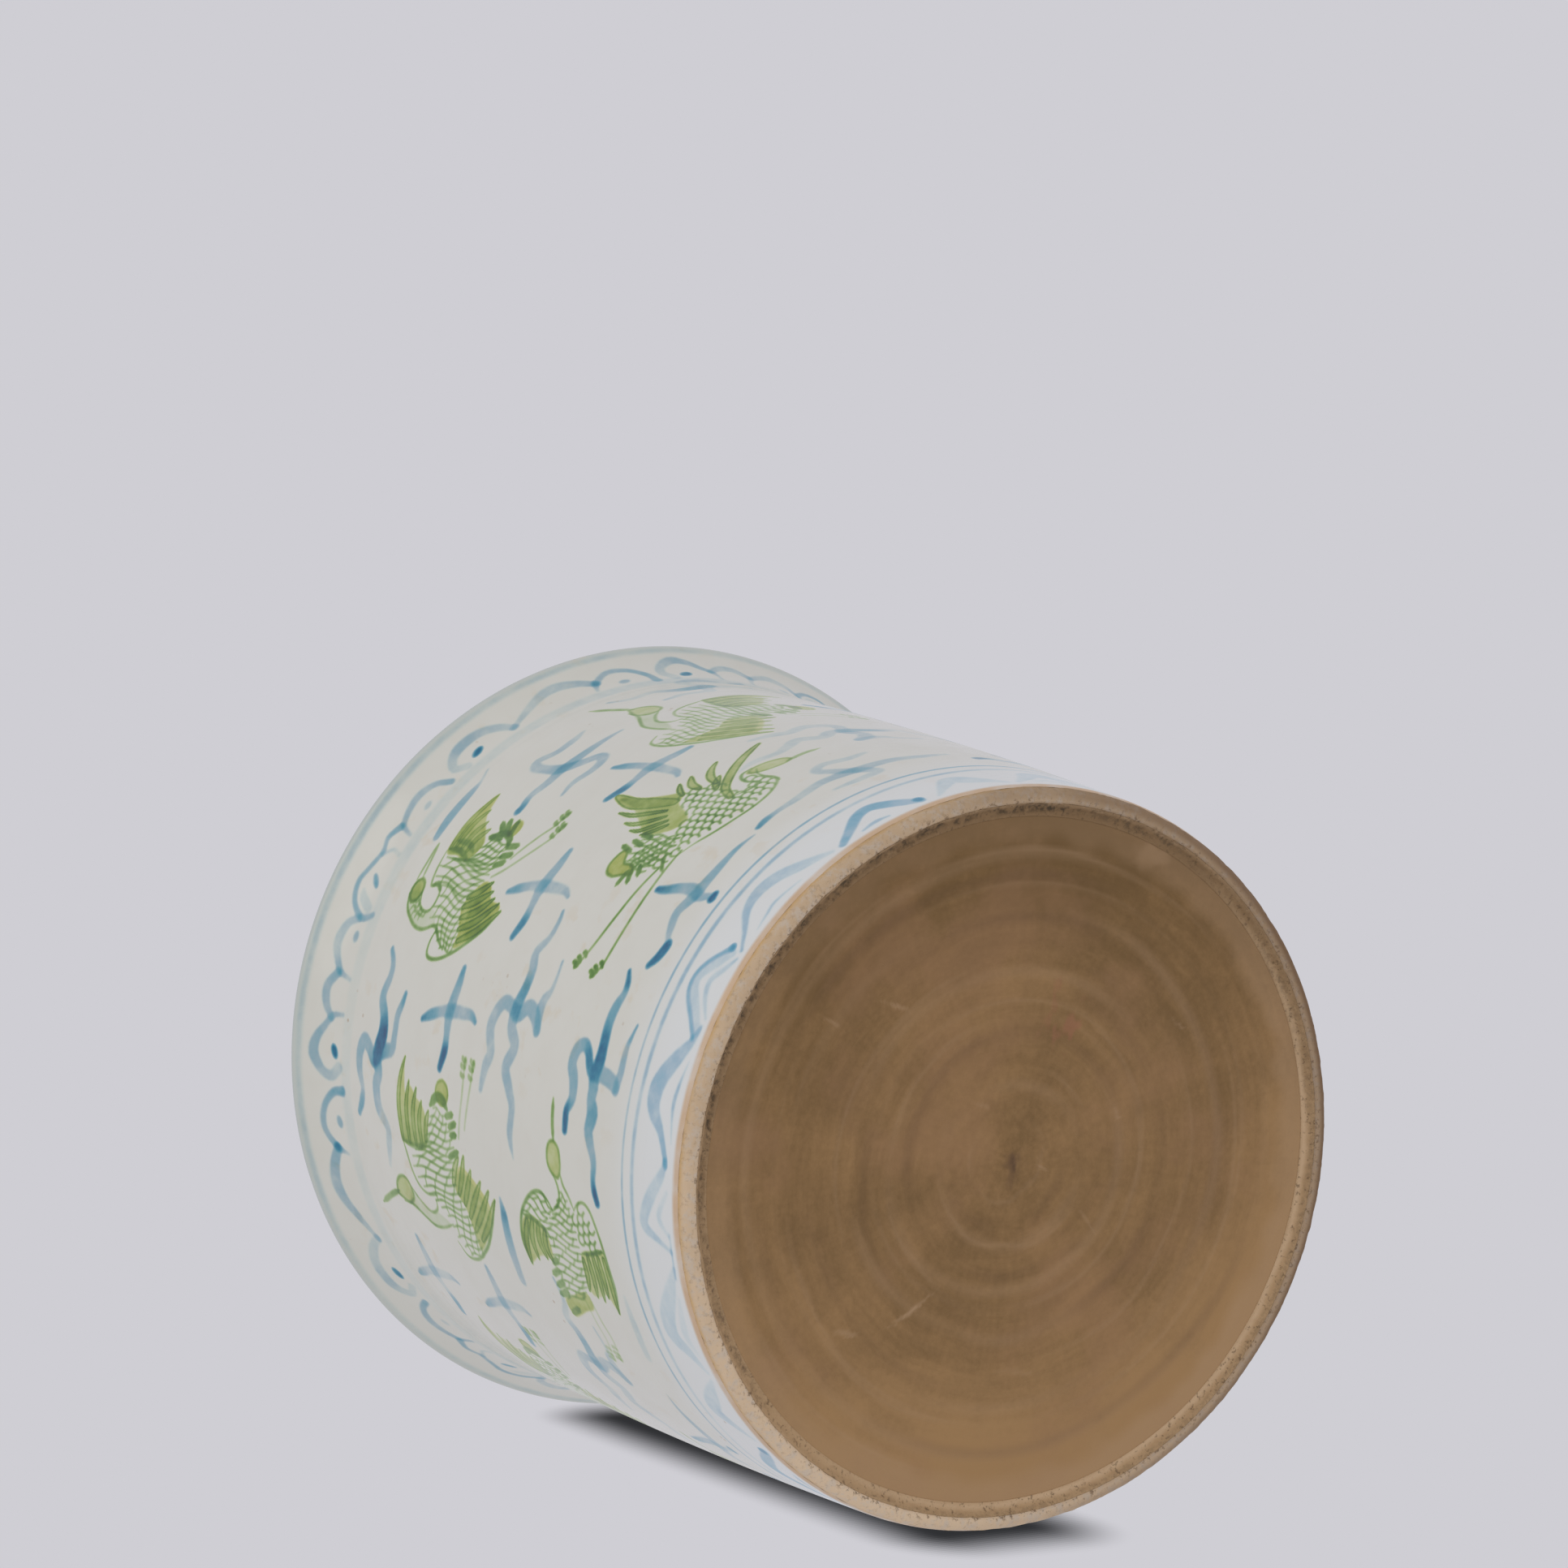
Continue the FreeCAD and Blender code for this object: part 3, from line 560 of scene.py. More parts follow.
# Where each motif comes: how far it is moved along and up, and how strong it is.
CRANES = [
    (crane_upright, [(0, 0, 1.0), (135, 0, 0.85), (270, 1, 0.95), (402, -2, 0.9), (-66, 1, 0.85)]),
    (crane_turned, [(0, 0, 1.0), (138, -2, 0.9), (270, 0, 1.0)]),
    (crane_diving, [(0, 0, 1.0), (306, 1, 0.9), (446, 0, 1.0)]),
    (crane_flying, [(0, 0, 1.0), (138, -2, 0.9), (280, -1, 0.95)]),
]
CLOUDS = [
    (BIG_CLOUD, [(0, 0, 1.0), (150, -1, 0.9), (306, -3, 1.0)]),
    (FLOWING_CLOUD, [(0, 0, 1.0), (-82, -13, 0.75), (104, -6, 0.7), (288, 5, 1.0)]),
    (BENT_CLOUD, [(0, 0, 1.0), (270, 0, 0.9), (402, 0, 0.9)]),
    (HOOKED_CLOUD, [(0, 0, 1.0), (138, 0, 1.0), (268, 0, 0.9)]),
    (CROSS_CLOUD, [(0, 0, 1.0), (33, -16.4, 0.8), (71, -13, 0.8), (-68, 29, 0.6), (-68, -7, 0.6),
        (134, 4, 0.8), (146, -39, 0.6), (228, -64, 0.8), (269, 4, 0.9), (400, -4, 0.8)]),
    (LEANING_CROSS, [(0, 0, 1.0), (-140, 2, 0.75), (146, -1, 0.9)]),
    (LOW_CLOUD, [(0, 0, 1.0), (271, -2, 1.0)]),
    (LONG_DASH, [(0, 0, 1.0), (138, 0, 0.9), (270, 0, 1.0)]),
    (SHORT_DASH, [(0, 0, 1.0), (250, 22, 0.8), (190, 8, 0.9), (378, 24, 0.9), (453, -4, 0.8)]),
    (PALE_DASH, [(0, 0, 1.0)]),
    (MIRRORED_BENT, [(128, 6, 0.5)]),
]

# The arches under the rim and the peaks above the foot. Dots are (u, v, width, height, turn, strength).
ARCHES = [
    [(-76, 160.6, 1.2, 0.25), (-70, 163.6, 1.8, 0.3), (-65, 165.8, 2.2, 0.32), (-60.5, 166.3, 2.4, 0.32),
     (-56, 165, 2.2, 0.33), (-52.4, 162.9, 2, 0.42)],
    [(-53.6, 159.6, 0.9, 0.25), (-52.2, 162.8, 1.4, 0.4), (-49, 165.4, 1.4, 0.36),
     (-45.8, 165.9, 1.4, 0.36), (-42, 164.6, 1.4, 0.38), (-39.2, 161.6, 1.6, 0.45),
     (-38.6, 158.4, 1.8, 0.45)],
    [(-33.4, 159.6, 2.4, 0.22), (-35.4, 162, 2.2, 0.28), (-34.6, 165, 2, 0.32), (-31, 167.4, 2.2, 0.38),
     (-27.4, 166.8, 1.8, 0.38), (-24.4, 164.6, 1.5, 0.38), (-21.8, 162.4, 1.3, 0.36),
     (-21.2, 159.2, 1, 0.25)],
    [(-22.6, 162.8, 1.2, 0.34), (-19.6, 165, 1.8, 0.32), (-15.6, 165.5, 1.9, 0.34),
     (-12.3, 163.3, 1.8, 0.4)],
    [(-13, 159, 1, 0.22), (-11.8, 162.6, 1.4, 0.34), (-8, 165, 1.8, 0.3), (-4.8, 165.6, 2, 0.28),
     (-1, 164.4, 1.8, 0.3), (0.6, 162, 1.6, 0.34)],
    [(2.4, 157.8, 1.2, 0.25), (1, 161.2, 1.4, 0.42), (3.8, 165, 1.1, 0.42), (8.4, 166.3, 1, 0.44),
     (12.4, 165.2, 1, 0.42), (16.5, 164.2, 1, 0.42), (20, 165, 1, 0.42), (23.4, 163.6, 1.5, 0.48)],
    [(16, 163.8, 1, 0.25), (18, 161.6, 1, 0.22), (17.4, 159.4, 1.2, 0.18)],
    [(3.6, 160.4, 2.2, 0.2), (5.4, 163, 2, 0.2), (7, 164, 1, 0.18)],
    [(22.6, 159.6, 1, 0.25), (23.9, 163, 1.2, 0.34), (27.6, 164.6, 1.5, 0.3), (32, 165, 1.7, 0.28),
     (36, 163.4, 1.5, 0.32), (38.2, 160.2, 1.6, 0.42)],
    [(43.4, 160.2, 2, 0.2), (41.2, 162.4, 2, 0.26), (42.6, 165, 2, 0.28), (46, 166.4, 2.2, 0.34),
     (51.5, 166.2, 2.2, 0.28), (55.6, 164, 2.2, 0.26), (58, 160.8, 1.8, 0.24)],
]
ARCH_DOTS = [
    (-46, 160.6, 3.2, 2.2, 0.2, 0.32), (-29.8, 161.1, 3.4, 2, 0.4, 0.95), (-3.4, 160.8, 3, 2, 0, 0.3),
    (9.9, 161.7, 4, 1.6, 0.7, 0.48), (30.6, 160.8, 3, 2, 0.2, 0.18), (47.7, 161.7, 3.6, 1.9, 0.35, 0.8),
    (-52.3, 163, 2.2, 2, 0, 0.4),
]
PEAKS = [
    [(-96, 6.4, 1, 0.2), (-91, 12, 3, 0.25), (-88, 14.4, 4, 0.25), (-84, 11.6, 4, 0.22),
     (-78, 6.6, 1.2, 0.2)],
    [(-75.6, 6.4, 1.2, 0.2), (-71, 10.5, 3, 0.22), (-68.6, 13.6, 4, 0.24), (-65.9, 14.6, 4.6, 0.25),
     (-62, 13.4, 4.4, 0.24), (-56, 9.5, 3.4, 0.2), (-50, 6, 1.2, 0.2)],
    [(-71, 6.6, 1, 0.14), (-67, 8.6, 2.2, 0.16), (-64, 8.2, 2.4, 0.16), (-57, 6.4, 1, 0.14)],
    [(-52, 5.8, 0.7, 0.25), (-47, 5.7, 0.7, 0.28), (-42, 5.8, 0.7, 0.2)],
    [(-46, 6, 1, 0.22), (-44, 11, 1.6, 0.24), (-42.4, 15, 2.4, 0.25), (-40, 15.6, 2.8, 0.24),
     (-35, 12.8, 3, 0.24), (-30, 9, 2.4, 0.26), (-27.3, 7.6, 1.4, 0.32)],
    [(-42.5, 6.4, 1, 0.18), (-38.8, 9.6, 1.6, 0.2), (-33, 6.4, 1.2, 0.18)],
    [(-25.6, 7.6, 1.4, 0.38), (-20.4, 10.4, 2, 0.34), (-16.5, 14, 3.4, 0.35), (-13, 15, 4.2, 0.35),
     (-9, 13.8, 4, 0.34), (-4, 10.4, 3.4, 0.32), (0.5, 7.2, 2, 0.3), (4, 6, 0.8, 0.3)],
    [(-22, 5.9, 0.5, 0.2), (-17.5, 6.8, 0.8, 0.3), (-13.6, 7.4, 1.2, 0.33), (-9, 6.9, 1, 0.3),
     (-4, 5.9, 0.5, 0.2)],
    [(1.1, 7.6, 0.9, 0.4), (5, 11.2, 0.9, 0.4), (9.6, 15.6, 0.9, 0.4), (13.6, 16.7, 0.9, 0.38),
     (17.5, 15, 1, 0.4), (21, 11.6, 1, 0.42), (22.7, 9.6, 1.6, 0.5)],
    [(3, 7, 2, 0.22), (8, 11.6, 2.6, 0.24), (11.6, 14.6, 2.4, 0.22), (14.6, 14.8, 2.4, 0.22),
     (18.6, 11.6, 3, 0.24), (21.4, 8.4, 2, 0.22)],
    [(6, 5.9, 0.8, 0.26), (10.5, 9.4, 1.4, 0.27), (14.2, 10.4, 1.6, 0.25), (17.4, 8, 1.6, 0.24),
     (20.5, 5.9, 0.8, 0.3)],
    [(22.7, 6.2, 0.9, 0.38), (27, 9.4, 1.3, 0.34), (32, 13.8, 2.2, 0.3), (37, 15, 3.2, 0.29),
     (42, 13.6, 3.6, 0.27), (47, 10, 3.2, 0.23), (52.8, 6.4, 1.4, 0.2)],
    [(28.5, 5.9, 0.5, 0.2), (33, 6.8, 0.9, 0.25), (36, 7.4, 1, 0.25), (43, 6, 0.6, 0.2)],
    [(55.7, 6, 1.6, 0.44), (60, 9.4, 2.2, 0.46), (65, 13.6, 2.6, 0.48), (68.8, 14.6, 3, 0.48),
     (72, 12.4, 3.2, 0.4), (75.4, 9, 3, 0.36), (77.6, 7, 2, 0.4)],
    [(61.6, 6.2, 0.8, 0.3), (65.6, 6.9, 1.4, 0.35), (68.6, 6.3, 0.8, 0.3)],
]
PEAK_DOTS = [
    (-26.7, 7.4, 2.6, 2, 0.4, 0.4), (22.7, 9.6, 2, 2, 0, 0.45), (77.6, 8.1, 2.4, 2.8, 0, 0.75),
]
ARCH_ROUNDS, ARCH_SOFT = 4, 1.1
PEAK_ROUNDS, PEAK_SOFT = 3, 1.3
DOT_SOFT = 1.2

# Lines drawn while the pot turned on the wheel: height, width, strength and softness.
RING_LINES = [(170.9, 1.7, 0.17, 1.5), (156.6, 4.6, 0.13, 2.0),
              (24.3, 1.0, 0.33, 0.8), (20.0, 1.7, 0.23, 1.4)]


def band(strokes, dots, rounds, soft):
    """Paints a row of strokes and dots again and again round the pot, never quite the same."""
    for k in range(rounds):
        brush = Brush(along=k * AROUND / rounds, up=chance.uniform(-0.3, 0.3) if k else 0)
        for points in strokes:
            brush.strength = chance.uniform(0.75, 1.1) if k else 1.0
            brush.trail(points, soft)
        for u, v, width, height, turn, strength in dots:
            brush.wash("cobalt", oval((u, v), width, height, turn), strength, soft=DOT_SOFT)


def ring_line(height, width, strength, soft):
    """A line that wavers a little in height and strength on its way round."""
    turn = np.arange(COLUMNS) / COLUMNS * TURN
    middle = height + 0.15 * (np.sin(turn + height) + 0.5 * np.sin(3 * turn + 2 * height))
    load = strength * (1 + 0.2 * np.sin(2 * turn + height) + 0.1 * np.sin(7 * turn))
    gap = np.abs(ROW_HEIGHTS[:, None] - middle) - width / 2
    lay("cobalt", np.s_[:], load * ease(0.5 - gap / soft))


for ring in RING_LINES:
    ring_line(*ring)
band(ARCHES, ARCH_DOTS, ARCH_ROUNDS, ARCH_SOFT)
band(PEAKS, PEAK_DOTS, PEAK_ROUNDS, PEAK_SOFT)
for strokes, moves in CLOUDS:
    for along, up, strength in moves:
        for points in strokes:
            Brush(along, up, strength).trail(points)
for crane, moves in CRANES:
    for along, up, strength in moves:
        crane(Brush(along, up, strength))


# ---- Meshes -----------------------------------------------------------------------------------

def carry(mesh, label, values):
    """Gives each point of a mesh a colour that its material can read."""
    layer = mesh.attributes.new(label, "FLOAT_COLOR", "POINT")
    layer.data.foreach_set("color", values.astype(np.float32).ravel())


def add_piece(name, points, faces, material, node):
    """Makes a mesh from points in mm, in place of a CAD node."""
    mesh = bpy.data.meshes.new(name)
    mesh.vertices.add(len(points))
    mesh.vertices.foreach_set("co", (np.asarray(points) * MM).astype(np.float32).ravel())
    mesh.loops.add(faces.size)
    mesh.loops.foreach_set("vertex_index", faces.astype(np.int32).ravel())
    mesh.polygons.add(len(faces))
    mesh.polygons.foreach_set("loop_start", np.arange(0, faces.size, faces.shape[1], dtype=np.int32))
    mesh.update(calc_edges=True)
    mesh.polygons.foreach_set("use_smooth", np.ones(len(faces), bool))
    mesh.materials.append(material)
    piece = bpy.data.objects.new(name, mesh)
    bpy.context.scene.collection.objects.link(piece)
    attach(piece, "root")
    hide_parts(node)
    return piece


def lumps(x, y, z, seed):
    """Smooth noise from -1 to 1 with lumps one unit across."""
    low = [np.floor(k).astype(int) for k in (x, y, z)]
    part = [ease(k - n) for k, n in zip((x, y, z), low)]

    def corner(i, j, k):
        mixed = (low[0] + i) * 374761393 + (low[1] + j) * 668265263 + (low[2] + k) * 2147483647
        mixed = mixed + seed * 974634777
        mixed = (mixed ^ (mixed >> 13)) * 1274126177
        return ((mixed ^ (mixed >> 16)) & 0xFFFF) / 32767.5 - 1

    total = 0
    for i in (0, 1):
        for j in (0, 1):
            for k in (0, 1):
                share = [p if n else 1 - p for p, n in zip(part, (i, j, k))]
                total = total + corner(i, j, k) * share[0] * share[1] * share[2]
    return total


def flat_lumps(x, y, size, seed):
    """The same noise on a plane, with lumps of a given size in mm."""
    return lumps(x / size, y / size, 0 * x, seed)


def round_lumps(angle, count, seed, level=0):
    """The same noise round the pot, closing on itself. A larger count makes shorter lumps."""
    return lumps(np.cos(angle) * count, np.sin(angle) * count, level + 0 * angle, seed)


def turned(name, section, count, material, node, relief=None, closed=False):
    """A piece turned from its section. relief moves each point outward along its normal, in mm."""
    section = np.array(section, float)
    outward = outward_of(section)
    r, angle = np.meshgrid(section[:, 0], np.arange(count) / count * TURN, indexing="ij")
    z = np.repeat(section[:, 1:], count, 1)
    if relief is not None:
        shift = relief(r, angle, z)
        r, z = r + outward[:, :1] * shift, z + outward[:, 1:] * shift
    points = np.stack([r * np.cos(angle), r * np.sin(angle), z], -1).reshape(-1, 3)
    bands = len(section) if closed else len(section) - 1
    row, column = np.meshgrid(np.arange(bands), np.arange(count), indexing="ij")
    after, beside = (row + 1) % len(section), (column + 1) % count
    corners = ((row, column), (row, beside), (after, beside), (after, column))
    faces = np.stack([a * count + b for a, b in corners], -1)
    return add_piece(name, points, faces.reshape(-1, 4), material, node)


# ---- Materials --------------------------------------------------------------------------------
# Colours are linear, and heights along z are in metres.

GLAZE_DULL, GLAZE_CLEAR, GLAZE_GREY = (0.71, 0.71, 0.625), (0.765, 0.757, 0.68), (0.70, 0.688, 0.60)
GLAZE_RIM, GLAZE_FOOT_LIGHT = (0.43, 0.51, 0.48), (0.80, 0.83, 0.83)
GLAZE_STAIN, GLAZE_FLASH, IRON = (0.69, 0.60, 0.43), (0.66, 0.47, 0.30), (0.42, 0.27, 0.13)
COBALT_HAZE = (0.78, 0.775, 0.885)
# What the glaze lets through under a full stroke of each pigment, and how thin strokes fade.
TINTS = ((0.0065, 0.215, 0.43), (0.11, 0.29, 0.032), (0.66, 0.70, 0.17))
THINNING = (1.9, 1.35, 1.0)

BASE_DARK, BASE_LIGHT, BASE_PINK = (0.178, 0.102, 0.036), (0.41, 0.243, 0.104), (0.36, 0.203, 0.10)
BASE_RUBBED_AND_LIT, BASE_NUB, BASE_RUST = (0.49, 0.32, 0.18), (0.075, 0.04, 0.028), (0.36, 0.15, 0.085)
SEAM_BROWN, SEAM_LIGHT, SEAM_PALE = (0.26, 0.162, 0.078), (0.50, 0.33, 0.175), (0.64, 0.45, 0.27)
SEAM_OPEN_SHADE, SEAM_PIT = (0.062, 0.045, 0.028), (0.13, 0.082, 0.042)
FOOT_TAN, FOOT_LIGHT, FOOT_CHALK = (0.60, 0.44, 0.275), (0.76, 0.575, 0.38), (0.62, 0.55, 0.46)
FOOT_GOLD, FOOT_SHADE, FOOT_PIT = (0.62, 0.385, 0.14), (0.20, 0.115, 0.055), (0.17, 0.105, 0.055)

# Across the pot: the side where the recess rim is painted lit, the side where the foot is painted in shade,
# and the side towards which the clay is painted lighter.
RECESS_LIT_SIDE, SHADED_FOOT_SIDE, PAINTED_LIGHT_SIDE = (-0.66, 0.75), (0.17, 0.985), (-0.99, 0.05)


class Nodes:
    """Builds one material's nodes. Each kind of node has a call that returns its output."""

    def __init__(self, name):
        self.material = bpy.data.materials.new(name)
        self.material.use_nodes = True
        self.tree = self.material.node_tree
        self.shader = self.tree.nodes["Principled BSDF"]
        self.position = self.add("ShaderNodeTexCoord").outputs["Object"]

    def add(self, kind, inputs=(), **settings):
        node = self.tree.nodes.new(kind)
        for key, value in settings.items():
            setattr(node, key, value)
        for key, value in dict(inputs).items():
            self.set(node.inputs[key], value)
        return node

    def set(self, socket, value):
        if isinstance(value, bpy.types.NodeSocket):
            self.tree.links.new(value, socket)
        else:
            socket.default_value = value

    def maths(self, operation, a, b=0.0):
        return self.add("ShaderNodeMath", {0: a, 1: b}, operation=operation).outputs[0]

    def times(self, a, b):
        return self.maths("MULTIPLY", a, b)

    def plus(self, a, b):
        return self.maths("ADD", a, b)

    def minus(self, a, b):
        return self.maths("SUBTRACT", a, b)

    def vector(self, operation, a, b=(0, 0, 0)):
        node = self.add("ShaderNodeVectorMath", {0: a, 1: b}, operation=operation)
        return node.outputs["Value" if operation in ("LENGTH", "DOT_PRODUCT") else "Vector"]

    def scaled(self, a, by):
        return self.add("ShaderNodeVectorMath", {"Vector": a, "Scale": by}, operation="SCALE").outputs[0]

    def apart(self, vector):
        return self.add("ShaderNodeSeparateXYZ", {0: vector}).outputs

    def joined(self, x, y, z):
        return self.add("ShaderNodeCombineXYZ", {0: x, 1: y, 2: z}).outputs[0]

    def noise(self, scale, detail, roughness=0.5, at=None):
        inputs = {"Vector": self.position if at is None else at,
                  "Scale": scale, "Detail": detail, "Roughness": roughness}
        return self.add("ShaderNodeTexNoise", inputs).outputs["Fac"]

    def ranged(self, value, low, high, to_low=0.0, to_high=1.0):
        inputs = {"Value": value, "From Min": low, "From Max": high, "To Min": to_low, "To Max": to_high}
        return self.add("ShaderNodeMapRange", inputs, interpolation_type="SMOOTHSTEP").outputs["Result"]

    def mixed(self, share, a, b):
        node = self.add("ShaderNodeMix", data_type="RGBA")
        for key, value in (("Factor_Float", share), ("A_Color", a), ("B_Color", b)):
            socket = next(s for s in node.inputs if s.identifier == key)
            self.set(socket, (*value, 1) if isinstance(value, tuple) else value)
        return next(s for s in node.outputs if s.identifier == "Result_Color")

    def carried(self, label):
        """The three parts of a colour that the mesh carries."""
        return self.apart(self.add("ShaderNodeAttribute", attribute_name=label).outputs["Color"])

    def bump(self, height, distance, strength, normal=None):
        inputs = {"Height": height, "Distance": distance, "Strength": strength}
        if normal is not None:
            inputs["Normal"] = normal
        return self.add("ShaderNodeBump", inputs).outputs[0]

    def flat(self):
        """The place seen along the pot's axis, with its height left out."""
        x, y, _ = self.apart(self.position)
        return self.joined(x, y, 0.0)

    def height(self):
        return self.apart(self.position)[2]

    def finish(self, colour, roughness, normal, specular=0.5):
        inputs = {"Base Color": colour, "Roughness": roughness, "Normal": normal,
                  "Specular IOR Level": specular}
        for key, value in inputs.items():
            self.set(self.shader.inputs[key], value)
        return self.material


def glaze_colour(n):
    """The clear glaze over pale clay: nearly white, green-grey where it pools at the rim, with painted light
    near the foot.

    Also returns the fine noise, for the gloss.
    """
    z = n.height()
    cloudy, fine = n.noise(14, 4), n.noise(120, 3)
    colour = n.mixed(cloudy, GLAZE_DULL, GLAZE_CLEAR)
    colour = n.mixed(n.ranged(fine, 0.35, 0.75, 0, 0.35), colour, GLAZE_GREY)
    colour = n.mixed(n.ranged(z, 0.1695, 0.1745, 0, 0.85), colour, GLAZE_RIM)
    stains = n.times(n.ranged(n.noise(150, 3), 0.58, 0.70), n.ranged(cloudy, 0.5, 0.62, 0, 0.4))
    colour = n.mixed(stains, colour, GLAZE_STAIN)
    # Painted light: a brighter, bluer white towards the foot.
    colour = n.mixed(n.ranged(z, 0.036, 0.012, 0, 0.7), colour, GLAZE_FOOT_LIGHT)
    flash = n.times(n.ranged(z, 0.0048, 0.0034), n.ranged(fine, 0.25, 0.6, 0.55, 1.0))
    return n.mixed(flash, colour, GLAZE_FLASH), fine


def iron_specks(n, colour, density):
    """Tiny brown specks of iron, as coarse clay shows through its glaze."""
    radius = 0.115
    cells = n.add("ShaderNodeTexVoronoi", {"Vector": n.position, "Scale": density})
    rare = n.ranged(n.noise(60, 2), 0.62, 0.72)
    spot = n.times(n.ranged(cells.outputs["Distance"], radius * 2.4, radius), rare)
    chosen = n.ranged(n.apart(cells.outputs["Color"])[0], 0.8, 0.86)
    return n.mixed(n.times(n.times(spot, chosen), 0.6), colour, IRON)


def glaze_surface(n):
    """Slow waves left by throwing, and the faint unevenness of a glaze that has run."""
    across = n.vector("NORMALIZE", n.flat())
    wind = n.joined(0.0, 0.0, n.times(n.height(), 60))
    rings = n.noise(1.0, 3, at=n.vector("ADD", n.scaled(across, 0.35), wind))
    return n.bump(n.noise(90, 2), 0.00012, 0.6, n.bump(rings, 0.0009, 0.5))


def painted_glaze():
    """The clear glaze with the pigments that the mesh carries."""
    n = Nodes("painted_glaze")
    colour, fine = glaze_colour(n)
    streaks = n.ranged(n.noise(260, 4, 0.6), 0.2, 0.8, 0.7, 1.25)
    broad = n.ranged(n.noise(110, 3, 0.6), 0.25, 0.75, 0.7, 1.35)
    depths = [n.times(n.times(n.maths("POWER", amount, thinner), streaks), broad)
              for amount, thinner in zip(n.carried("paint"), THINNING)]
    haze = n.mixed(n.ranged(depths[0], 0, 0.1), (1, 1, 1), COBALT_HAZE)
    colour = n.vector("MULTIPLY", colour, haze)
    for depth, tint in zip(depths, TINTS):
        through = n.vector("POWER", tint, n.joined(depth, depth, depth))
        colour = n.vector("MULTIPLY", colour, through)
    return n.finish(iron_specks(n, colour, 420.0), n.ranged(fine, 0.2, 0.8, 0.15, 0.24), glaze_surface(n))


def plain_glaze():
    n = Nodes("plain_glaze")
    colour, fine = glaze_colour(n)
    return n.finish(iron_specks(n, colour, 380.0), n.ranged(fine, 0.2, 0.8, 0.16, 0.26), glaze_surface(n))


def fired_clay(name, dark, light, grain, ring_share):
    """Bare brown clay with the rings of the turning tool, painted lighter towards one side and at the recess
    rim, gritty up close.

    Returns the nodes, the colour, the radius in mm and the four textures it is made of.
    """
    n = Nodes(name)
    flat = n.flat()
    r = n.times(n.vector("LENGTH", flat), 1000)
    across = n.vector("NORMALIZE", flat)
    mottled = n.noise(42, 8, 0.68)
    wind = n.joined(0.0, 0.0, n.plus(n.times(r, 0.3), n.times(mottled, 1.6)))
    rings = n.noise(1.0, 5, 0.6, n.vector("ADD", n.scaled(across, 1.5), wind))
    fine_rings = n.noise(1.0, 4, 0.7, n.vector("ADD", n.scaled(across, 3.0), n.scaled(wind, 4.5)))
    gritty = n.noise(700, 4, 0.65)
    # Painted light: lighter towards one side, and towards the recess rim on the side where it catches the
    # light.
    side = n.times(n.times(n.vector("DOT_PRODUCT", flat, (*PAINTED_LIGHT_SIDE, 0.0)), 12.5), n.ranged(r, 25, 75))
    toward = n.ranged(n.vector("DOT_PRODUCT", across, (*RECESS_LIT_SIDE, 0.0)), -0.5, 0.9, 0, 0.4)
    tone = n.plus(n.times(side, 0.8), n.times(n.ranged(r, 50, 74), toward))
    for texture, share in ((rings, ring_share), (mottled, 1.5), (fine_rings, 0.14), (gritty, grain)):
        tone = n.plus(tone, n.times(n.minus(texture, 0.5), share))
    return n, n.mixed(n.ranged(tone, -0.75, 0.85), dark, light), r, (rings, fine_rings, mottled, gritty)


def clay_bump(n, textures, ring_depth, grit_depth):
    """Tool rings, finer rings within them, and grit."""
    rings, fine_rings, _, gritty = textures
    normal = n.bump(rings, ring_depth, 0.6)
    normal = n.bump(fine_rings, ring_depth * 0.3, 0.6, normal)
    return n.bump(gritty, grit_depth, 0.7, normal)


def base_clay():
    n, colour, _, textures = fired_clay("base_clay", BASE_DARK, BASE_LIGHT, grain=0.5, ring_share=0.75)
    colour = n.mixed(n.ranged(n.noise(30, 5, 0.6), 0.46, 0.66, 0, 0.4), colour, BASE_PINK)
    for mark, tint in zip(n.carried("marks"), (BASE_RUBBED_AND_LIT, BASE_NUB, BASE_RUST)):
        colour = n.mixed(mark, colour, tint)
    roughness = n.ranged(textures[2], 0.2, 0.8, 0.72, 0.9)
    return n.finish(colour, roughness, clay_bump(n, textures, 0.00011, 0.00009), specular=0.3)


def seam_clay():
    n, colour, _, textures = fired_clay("seam_clay", SEAM_BROWN, SEAM_LIGHT, grain=0.8, ring_share=0.5)
    pale, open_and_shaded, _ = n.carried("marks")
    # Painted light: the seam's pale crest and edges.
    colour = n.mixed(pale, colour, SEAM_PALE)
    crumbs = n.ranged(n.noise(800, 4, 0.75), 0.44, 0.58, 0.35, 1.2)
    # Dark grit in the open joint, partly painted shade on the side turned from the light.
    colour = n.mixed(n.times(open_and_shaded, crumbs), colour, SEAM_OPEN_SHADE)
    colour = n.mixed(n.ranged(n.noise(1000, 3, 0.7), 0.55, 0.68, 0, 0.65), colour, SEAM_PIT)
    return n.finish(colour, 0.86, clay_bump(n, textures, 0.00015, 0.0002), specular=0.3)


